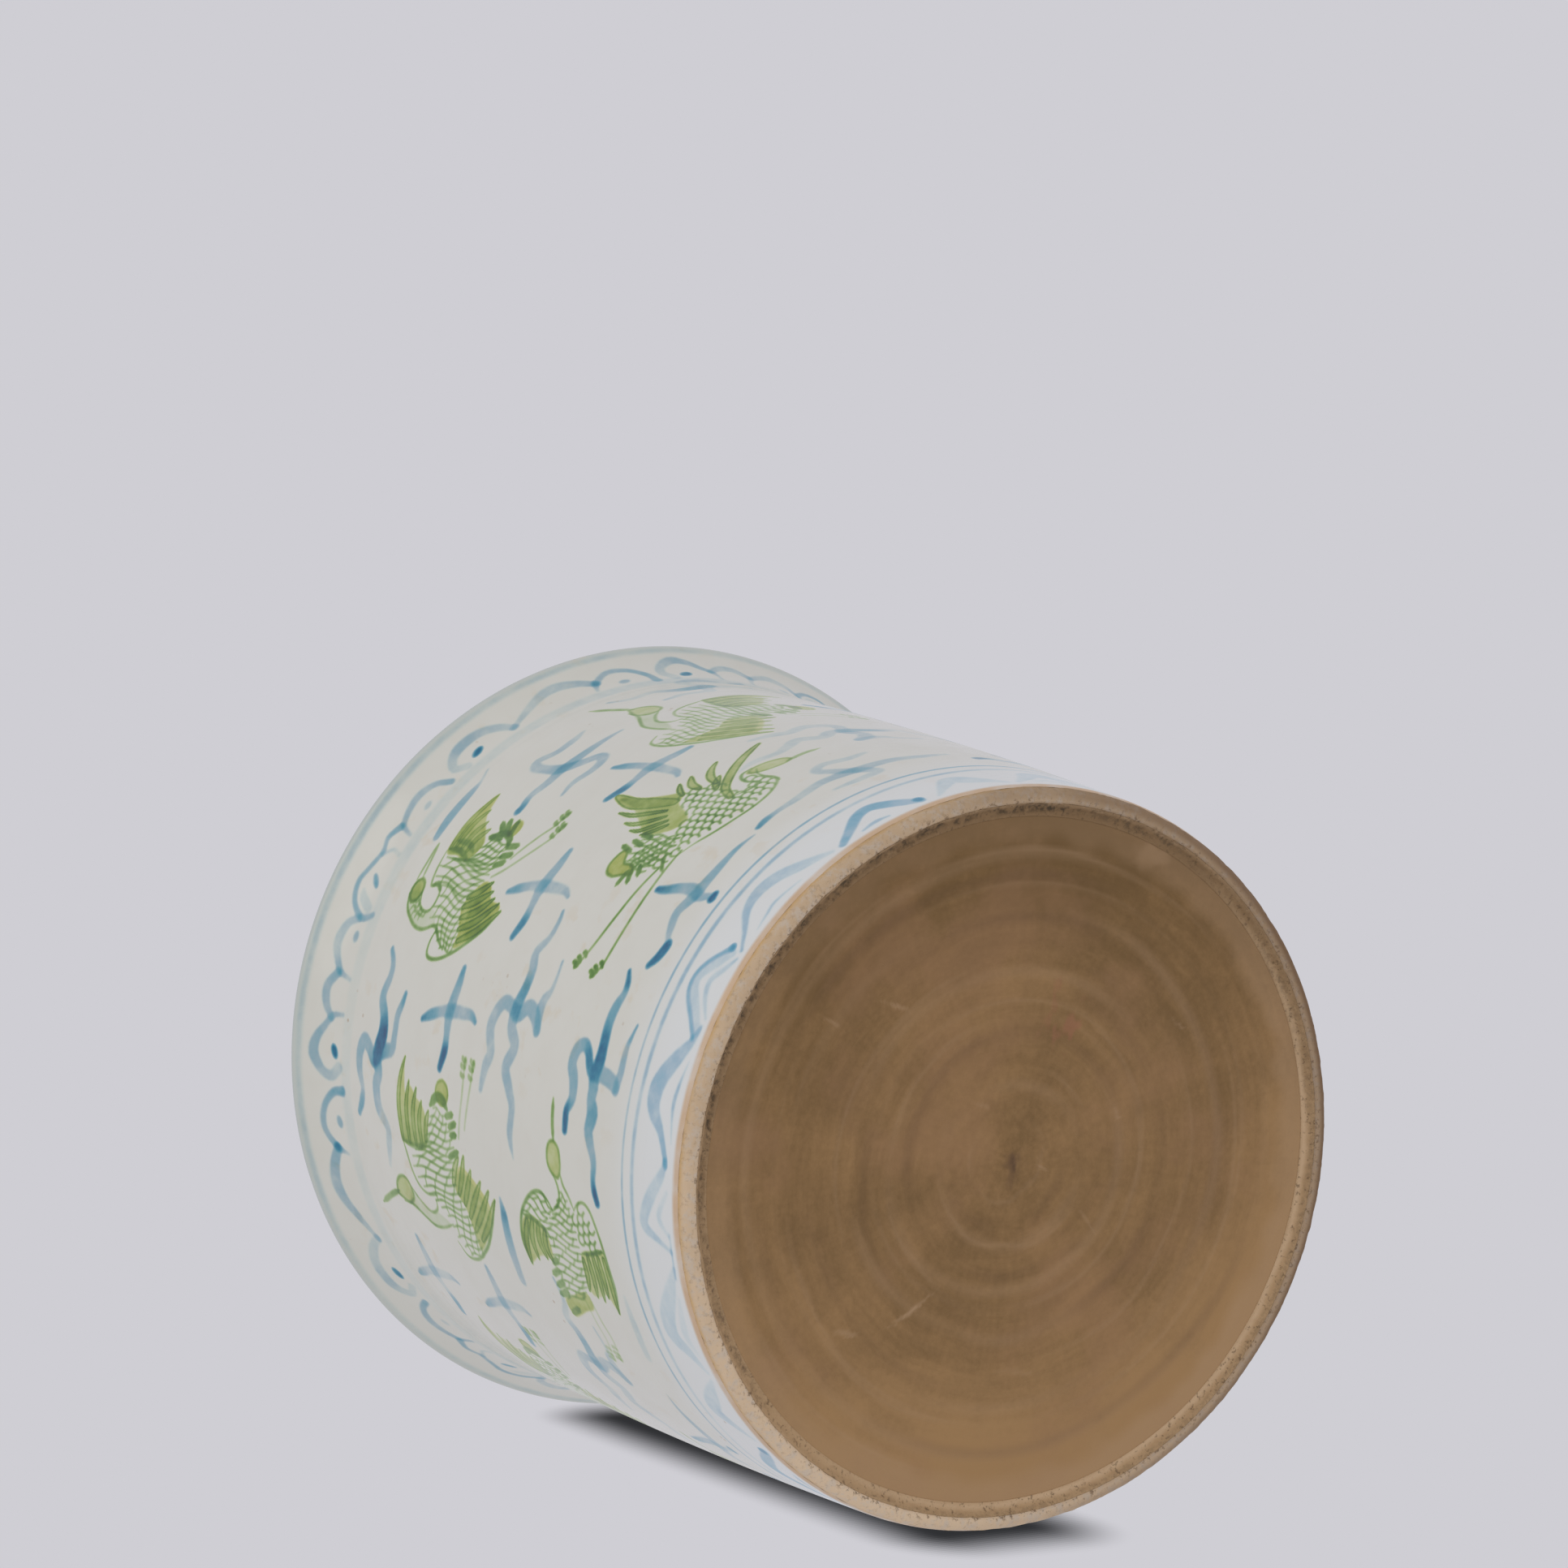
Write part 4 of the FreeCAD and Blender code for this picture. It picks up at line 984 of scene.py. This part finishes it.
def foot_clay():
    n, colour, r, textures = fired_clay("bare_clay", FOOT_TAN, FOOT_LIGHT, grain=0.5, ring_share=0.6)
    mottled, gritty = textures[2:]
    colour = n.mixed(n.ranged(n.noise(420, 4, 0.7), 0.45, 0.65, 0, 0.55), colour, FOOT_CHALK)
    flash = n.times(n.ranged(n.height(), 0.0009, 0.0024), n.ranged(mottled, 0.3, 0.65, 0.4, 1.0))
    colour = n.mixed(n.times(flash, 0.75), colour, FOOT_GOLD)
    across = n.vector("NORMALIZE", n.flat())
    # Painted shade: the outer foot is darker on the side turned from the light, broken up by mottling.
    toward = n.plus(n.vector("DOT_PRODUCT", across, (*SHADED_FOOT_SIDE, 0.0)), n.times(n.minus(mottled, 0.5), 0.8))
    painted_foot_shade = n.times(n.ranged(toward, -0.6, 1.0, 0, 0.97), n.ranged(r, 76.8, 78.4, 0.6, 1.0))
    colour = n.mixed(painted_foot_shade, colour, FOOT_SHADE)
    pits = n.times(n.ranged(n.noise(900, 3, 0.7), 0.52, 0.66, 0, 0.8), n.ranged(r, 78.0, 76.6, 0.25, 1.0))
    colour = n.mixed(pits, colour, FOOT_PIT)
    roughness = n.ranged(gritty, 0.2, 0.8, 0.65, 0.85)
    return n.finish(colour, roughness, clay_bump(n, textures, 0.0001, 0.00008), specular=0.35)


# ---- Painted outer glaze ------------------------------------------------------------------------
# The painting is carried by the mesh: close points where the paint changes, wide apart where it is even.

SECTORS = 8
COARSE, RIM_SPACING = 8, 4
RIM_BEND = 170.5
MERGE_GAP, NUDGE = 1e-7, 1e-4
layers = np.stack([paint[name] for name in PIGMENTS], -1)


def widest(values, reach):
    """Each cell takes the largest value within reach, round the pot and up and down."""
    out = values.copy()
    for axis in (0, 1):
        start = out.copy()
        for step in range(1, reach + 1):
            for way in (-step, step):
                out = np.maximum(out, np.roll(start, way, axis))
    return out


change = np.zeros(layers.shape[:2])
for axis in (0, 1):
    for way in (1, -1):
        change = np.maximum(change, np.abs(layers - np.roll(layers, way, axis)).max(-1))
rows, columns = np.meshgrid(np.arange(layers.shape[0]), np.arange(COLUMNS), indexing="ij")
keep = (rows % COARSE == 0) & (columns % COARSE == 0)
# Cells are kept one, two or four apart, where the paint within that reach changes by more than least.
for spacing, least in ((1, 0.045), (2, 0.012), (4, 0.004)):
    here = (rows % spacing == 0) & (columns % spacing == 0)
    keep |= here & (widest(change, spacing) > least)
close_rows = ROW_HEIGHTS > RIM_BEND
close_rows[[0, 1, 2, -1]] = True
keep |= close_rows[:, None] & (columns % RIM_SPACING == 0)
sector_edges = [round(k * COLUMNS / SECTORS / RIM_SPACING) * RIM_SPACING for k in range(SECTORS)] + [COLUMNS]
for edge in sector_edges[:-1]:
    keep[::2, edge] = True
    keep[-1, edge] = True

facing = outward_of(outside)
glaze = painted_glaze()
for k, (first, last) in enumerate(zip(sector_edges, sector_edges[1:])):
    row, column = np.nonzero(np.hstack([keep[:, first:last], keep[:, last % COLUMNS][:, None]]))
    # The small shifts keep the triangulation clear of four points on one circle.
    flat = [Vector((float(c), float(r) + NUDGE * ((c * 7 + r * 3) % 5))) for r, c in zip(row, column)]
    triangles = np.array(delaunay_2d_cdt(flat, [], [], 0, MERGE_GAP)[2])
    angle = PAINT_START + (column + first) * CELL / PAINT_RADIUS
    around = np.stack([np.cos(angle), np.sin(angle)], 1)
    points = np.column_stack([around * outside[row, :1], outside[row, 1]])
    piece = add_piece(f"glaze_outside_{k + 1}", points, triangles, glaze, "outer_glaze")
    normals = np.column_stack([around * facing[row, :1], facing[row, 1]])
    piece.data.normals_split_custom_set_from_vertices(normals.tolist())
    densities = np.column_stack([layers[row, (column + first) % COLUMNS], np.ones(len(row))])
    carry(piece.data, "paint", densities)


# ---- Inner glaze, clay wall, seam and base -------------------------------------------------------

def throwing_ridges(r, angle, z):
    """Low ridges left inside by the potter's fingers, winding up the wall and across the floor."""
    wall = 0.16 * np.sin(z / 9.5 * TURN + angle) * ease((z - 20) / 20) * ease((168 - z) / 14)
    floor = 0.12 * np.sin(r / 8 * TURN + angle) * ease((12 - z) / 3) * ease((68 - r) / 8) * ease(r / 6)
    return wall + floor


inside = np.vstack([
    arc(RIM_TOP, (91.2, 174.84), (90.33, 174.2), 0.3),
    arc((90.33, 174.2), (83.83, 163.4), (81.6, 151.0), 0.8),
    arc((81.6, 151.0), (79.9, 83.3), (75.9, 15.6), 1.2),
    arc((75.9, 15.6), (73.97, 10.93), (69.3, 9.0), 0.6),
    line((69.3, 9.0), (0.2, 9.0), 1.2),
    [(0.2, 9.0), (0.0, 9.0)],
])
turned("glaze_inside", inside, 360, plain_glaze(), "inner_glaze", throwing_ridges)


def foot_wear(r, angle, z):
    """Small dents and grains on the bare foot."""
    x, y = r * np.cos(angle), r * np.sin(angle)
    dents = 0.10 * lumps(x / 2.2, y / 2.2, z / 2.2, 5)
    grains = 0.05 * lumps(x / 0.8, y / 0.8, z / 0.8, 6)
    return ease((3.2 - z) / 1.0) * (dents + grains - 0.06)


wall = np.vstack([
    line((76.3, 15.0), (76.3, 0.6), 4),
    line((76.3, 0.6), (76.8, 0.15), 0.2),
    line((76.8, 0.15), (77.7, 0.02), 0.2),
    arc((77.7, 0.02), (79.1, 0.8), FOOT_EDGE, 0.2),
    line(FOOT_EDGE, (79.63, 3.4), 0.3),
    arc((79.63, 3.4), (84.2, 77.6), (86.6, 152.0), 5),
    arc((86.6, 152.0), (88.35, 162.5), (93.2, 171.8), 1),
    arc((93.2, 171.8), (93.4, 173.8), (92.0, 174.5), 0.4),
    arc((92.0, 174.5), (84.3, 163.3), (82.1, 151.0), 1),
    arc((82.1, 151.0), (80.4, 83.3), (76.6, 17.0), 5),
])
turned("clay_wall", wall, 1200, foot_clay(), "wall", foot_wear, closed=True)


def point_places(piece):
    """Where a piece's points are, in mm: x, y and z, the distance from the axis, and the angle."""
    x, y, z = np.array([v.co for v in piece.data.vertices]).T / MM
    return x, y, z, np.hypot(x, y), np.arctan2(y, x)


def mark(piece, *parts):
    """Hands three shares from 0 to 1 to the clay's material, for each point of a piece."""
    carry(piece.data, "marks", np.column_stack([*parts, np.ones(len(parts[0]))]))


def toward(angle, side):
    """1 on the given side of the pot, -1 on the far side."""
    return np.cos(angle - math.atan2(side[1], side[0]))


# The side turned from the light, where the open joint is drawn dark: partly dark grit, partly painted shade.
SEAM_OPEN_SHADED_SIDE = (0.86, -0.5)


def seam_band(x, y, r, angle):
    """Where the joint stayed open as a broken gritty band on the side turned from the light, 0 to 1, and its
    raggedness.
    """
    ragged = flat_lumps(x, y, 1.3, 21) + 0.7 * flat_lumps(x, y, 0.55, 22)
    stretch = ease(0.3 + 0.75 * toward(angle, SEAM_OPEN_SHADED_SIDE) + 0.5 * round_lumps(angle, 6, 23))
    middle = 74.9 + 0.7 * round_lumps(angle, 9, 13)
    return ease(1.15 - np.abs(r - middle) / 1.3) * ease(0.7 + 0.7 * ragged) * stretch, ragged


def seam_grit(r, angle, z):
    """The joint was wiped over but not evenly: low crumbs of clay, and a groove where it stayed open."""
    x, y = r * np.cos(angle), r * np.sin(angle)
    under = ease((3 - z) / 1) * ease((r - 73.5) / 0.7) * ease((76.5 - r) / 0.7)
    crumbs = 0.2 * lumps(x / 2.2, y / 2.2, z / 2, 11) + 0.14 * lumps(x / 0.75, y / 0.75, z / 0.8, 12)
    return under * (crumbs - 0.3 * seam_band(x, y, r, angle)[0])


seam = np.vstack([
    line((73.5, 8.0), (73.5, 1.8), 2),
    line((73.5, 1.8), (74.9, 1.6), 0.2),
    line((74.9, 1.6), (76.4, 0.5), 0.2),
    line((76.4, 0.5), (76.4, 15.2), 3),
    arc((76.4, 15.2), (74.3, 10.7), (69.6, 8.7), 2),
    line((69.6, 8.7), (73.5, 8.0), 2),
])
piece = turned("luting_seam_rough", seam, 1440, seam_clay(), "luting_seam", seam_grit,
               closed=True)
x, y, z, r, angle = point_places(piece)
open_and_shaded, ragged = seam_band(x, y, r, angle)
toward_recess_light = toward(angle, RECESS_LIT_SIDE)
# Painted light on the seam: a pale crest where the recess catches the light, a pale outer edge on the far
# side, and painted shade on the outer edge beyond the lit crest.
lit_crest = ease(1 - np.abs(r - 74.2 - 0.4 * flat_lumps(x, y, 9, 24)) / 1.3) * ease(0.2 + toward_recess_light)
pale = 0.8 * lit_crest + ease((r - 75.5) / 0.6) * (0.2 + 0.3 * ease(ragged)) * ease(0.6 - toward_recess_light)
outer_foot_shade = 0.22 * ease((r - 75) / 0.8) * ease(0.3 + toward_recess_light)
mark(piece, np.clip(pale, 0, 1), np.maximum(0.75 * open_and_shaded, outer_foot_shade), 0 * r)

TOOL_RINGS = (15, 26, 37, 51, 62)
THIN_RINGS = (9, 19, 31, 33.5, 44, 56, 58, 67)


def tool_mark(r, angle, at, width):
    """A ring round r = at that wanders and fades out along parts of its way, from 0 to 1."""
    wander = 1.2 * np.sin(angle + at) + 0.9 * round_lumps(angle, 2.5, 34, at)
    there = ease(0.45 + 0.9 * round_lumps(angle, 1.7, 35, at))
    return ease(1 - np.abs(r - at - wander) / width) * there


def base_turning(r, angle, z):
    """Tool rings and a slow spiral on the underside of the base."""
    under = ease((6 - z) / 2)
    wind = r + angle / TURN * 2.6
    rings = 0.03 * lumps(wind / 1.3, 0 * r, 0 * r, 31)
    rings = rings + 0.05 * lumps(wind / 3.4, np.cos(angle), np.sin(angle), 32)
    grooves = sum(-0.2 * tool_mark(r, angle, at, 2.0) for at in TOOL_RINGS)
    pitted = 0.03 * flat_lumps(r * np.cos(angle), r * np.sin(angle), 1.1, 33)
    return under * ((rings + grooves) * ease(r / 5) + pitted)


base = np.vstack([
    [(0.0, 2.9)],
    line((0.15, 2.9), (4.0, 3.5), 0.35),
    line((4.0, 3.5), (40.0, 3.1), 0.7),
    line((40.0, 3.1), (72.6, 1.95), 0.7),
    line((72.6, 1.95), (73.7, 1.85), 0.4),
    [(73.7, 1.9), (73.7, 8.0), (0.0, 8.0)],
])
piece = turned("base_underside", base, 960, base_clay(), "base_disc", base_turning)
x, y, z, r, angle = point_places(piece)


def smudge(at, size, turn=0.0, ragged=0.5):
    """A soft patch on the base, its edge broken up."""
    u, v = x - at[0], y - at[1]
    a = (u * math.cos(turn) + v * math.sin(turn)) / size[0]
    b = (v * math.cos(turn) - u * math.sin(turn)) / size[1]
    return ease(1.2 - np.hypot(a, b) + ragged * lumps(x / (0.45 * size[0]), y / (0.45 * size[1]), 0 * x, 41))


# Patches on the base: place in mm, size, turn, raggedness and strength.
SCRATCHES = (
    ((34, -31), (0.7, 4), 0.3, 0.5, 0.4), ((31, -46), (0.5, 3), 0.5, 0.5, 0.28),
    ((-35, -38), (0.8, 3.4), 0.2, 0.5, 0.4), ((-32, -24), (0.8, 4.5), -0.5, 0.5, 0.36),
    ((-30, -21), (0.5, 5), -0.6, 0.5, 0.32), ((28, 40), (0.5, 2.4), 0.6, 0.5, 0.28),
    ((65, 30), (3, 5), 0.0, 0.5, 0.24), ((9, 26), (0.5, 2.4), 1.2, 0.5, 0.28),
    ((-2, 8), (0.5, 1.6), 0.4, 0.5, 0.28), ((12, -8), (0.5, 2), 0.3, 0.5, 0.24),
    ((-46, 4), (0.8, 5), 0.1, 0.5, 0.176), ((-14, 20), (0.5, 3.6), 0.9, 0.5, 0.2),
)
NUB = (((0, 0), (2.6, 2.1), 0.4, 0.3, 0.6), ((-3.5, 0.6), (3.4, 1.5), 0.2, 0.4, 0.3))
RUST = (((28, 12), (4.5, 2.4), 0.5, 0.8, 0.5), ((33, 8), (6, 1.5), 0.3, 0.8, 0.25))


def patches(places):
    return sum(strength * smudge(at, size, turn, ragged) for at, size, turn, ragged, strength in places)


def tool_marks(rings, width, strength, beside=0.0):
    return sum(strength * tool_mark(r, angle, at + beside, width) for at in rings)


under = ease((6 - z) / 2)
# The base rim is lighter all round: partly rubbed wear, partly painted light, strongest where the recess
# catches the light.
rim_wear_and_light = ease((r - 66 - 1.5 * flat_lumps(x, y, 6, 43)) / 5) * (0.3 + 0.15 * toward(angle, RECESS_LIT_SIDE))
rubbed_and_lit = patches(SCRATCHES) + np.clip(rim_wear_and_light, 0, 1)
rubbed_and_lit = rubbed_and_lit + tool_marks(TOOL_RINGS, 2.2, 0.2, beside=2.4) + tool_marks(THIN_RINGS, 0.9, 0.17)
dark = patches(NUB) + tool_marks(TOOL_RINGS, 2.2, 0.16)
mark(piece, np.clip(rubbed_and_lit * under, 0, 0.8), np.clip(dark * under, 0, 0.9), np.clip(patches(RUST), 0, 0.6))


# ---- Stage, light and camera ----------------------------------------------------------------------

BACKDROP, SHADOW = (0.624, 0.617, 0.658), (0.03, 0.031, 0.034)
SHADOW_POWER = 1.3


def stage_material(name, shade_of):
    """Glows in the backdrop's colour, darker close to the pot. From behind it isn't there."""
    n = Nodes(name)
    n.tree.nodes.remove(n.shader)
    colour = n.mixed(n.maths("POWER", shade_of(n), SHADOW_POWER), SHADOW, BACKDROP)
    glow = n.add("ShaderNodeEmission", {"Color": colour, "Strength": 1.0})
    gone = n.add("ShaderNodeBsdfTransparent")
    back = n.add("ShaderNodeNewGeometry").outputs["Backfacing"]
    mix = n.add("ShaderNodeMixShader", {0: back, 1: glow.outputs[0], 2: gone.outputs[0]})
    n.set(n.tree.nodes["Material Output"].inputs["Surface"], mix.outputs[0])
    return n.material


def standing_shade(n):
    """Dark where the pot stands close over the floor."""
    shade = n.add("ShaderNodeAmbientOcclusion", {"Distance": 0.05, "Normal": (0, 0, 1)}, samples=16)
    return shade.outputs["AO"]


def lying_shade(n):
    """Dark in a narrow band where the wall lies on the floor, ending short of the foot and the mouth."""
    _, y, z = n.apart(n.position)
    beside = n.maths("DIVIDE", n.minus(n.maths("ABSOLUTE", y), 0.010), 0.022)
    before = n.maths("DIVIDE", n.minus(0.006, z), 0.030)
    beyond = n.maths("DIVIDE", n.minus(z, 0.156), 0.026)
    away = n.joined(*(n.maths("MAXIMUM", part, 0) for part in (beside, before, beyond)))
    return n.ranged(n.vector("LENGTH", away), 0, 1)


def stage_piece(name, rectangles, material):
    """Rectangles given by their corners in metres, seen by the camera only."""
    mesh = bpy.data.meshes.new(name)
    corners = [corner for rectangle in rectangles for corner in rectangle]
    mesh.from_pydata(corners, [], [tuple(range(4 * k, 4 * k + 4)) for k in range(len(rectangles))])
    mesh.materials.append(material)
    piece = bpy.data.objects.new(name, mesh)
    bpy.context.scene.collection.objects.link(piece)
    piece.visible_diffuse = piece.visible_glossy = piece.visible_shadow = piece.visible_transmission = False


FLOOR = 1.2
stage_piece("floor_standing", [[(x * FLOOR, y * FLOOR, 0) for x, y in ((-1, -1), (1, -1), (1, 1), (-1, 1))]],
            stage_material("floor_standing", standing_shade))

# The floor that the pot lies on in the main view touches it along its -X side, at the foot and at the mouth.
# It is made of narrow strips that face down, so it shows to a camera below the pot and not to one above.
TOUCH_X, TOUCH_Z = -0.0801, 0.003
LEAN = 0.0827 / 0.9966
CLEAR = 0.0002
STRIP, DEPTH, LENGTH = 0.0016, 0.0008, 0.3
TILT = 0.12


def strip_edge(k, y):
    """The two corners of one strip at one of its ends."""
    z = k * STRIP + TILT * y
    x = TOUCH_X - (z - TOUCH_Z) * LEAN - CLEAR
    return [(x, y, z - TILT * DEPTH), (x - DEPTH, y, z)]


strips = [strip_edge(k, -LENGTH) + strip_edge(k, LENGTH)[::-1] for k in range(-80, 151)]
stage_piece("floor_lying", strips, stage_material("floor_lying", lying_shade))

scene = bpy.context.scene
scene.view_settings.view_transform = "Standard"
world = bpy.data.worlds.new("studio")
scene.world = world
world.use_nodes = True
world.node_tree.nodes["Background"].inputs["Color"].default_value = (*BACKDROP, 1)

LIGHT_COLOUR, LIGHT_SIZE = (1, 0.97, 0.9), 1.4


def add_light(name, place, target, power):
    lamp = bpy.data.lights.new(name, "AREA")
    lamp.shape, lamp.size, lamp.energy, lamp.color = "DISK", LIGHT_SIZE, power, LIGHT_COLOUR
    holder = bpy.data.objects.new(name, lamp)
    scene.collection.objects.link(holder)
    holder.location = place
    holder.rotation_euler = (Vector(target) - Vector(place)).to_track_quat("-Z", "Y").to_euler()


add_light("soft_key", place=(0.8, -1.55, 0.4), target=(0, 0, 0.08), power=3.4)
add_light("soft_under", place=(0.6, -0.6, -1.5), target=(0, 0, 0.02), power=2)

# The camera looks up at the foot from below, as it would at a pot lying on its side.
CAMERA_PLACE = (0.1684, -0.4797, -0.7549)
FORWARD, UP = Vector((-0.1014, 0.4819, 0.8704)), Vector((0.9933, 0.0, 0.1158))
SENSOR_WIDTH, LENS = 36, 98.63
camera = bpy.data.objects.new("camera", bpy.data.cameras.new("camera"))
scene.collection.objects.link(camera)
right = FORWARD.cross(UP).normalized()
view = Matrix((right, right.cross(FORWARD).normalized(), -FORWARD.normalized())).transposed().to_4x4()
view.translation = CAMERA_PLACE
camera.matrix_world = view
camera.data.sensor_width, camera.data.lens = SENSOR_WIDTH, LENS
scene.camera = camera
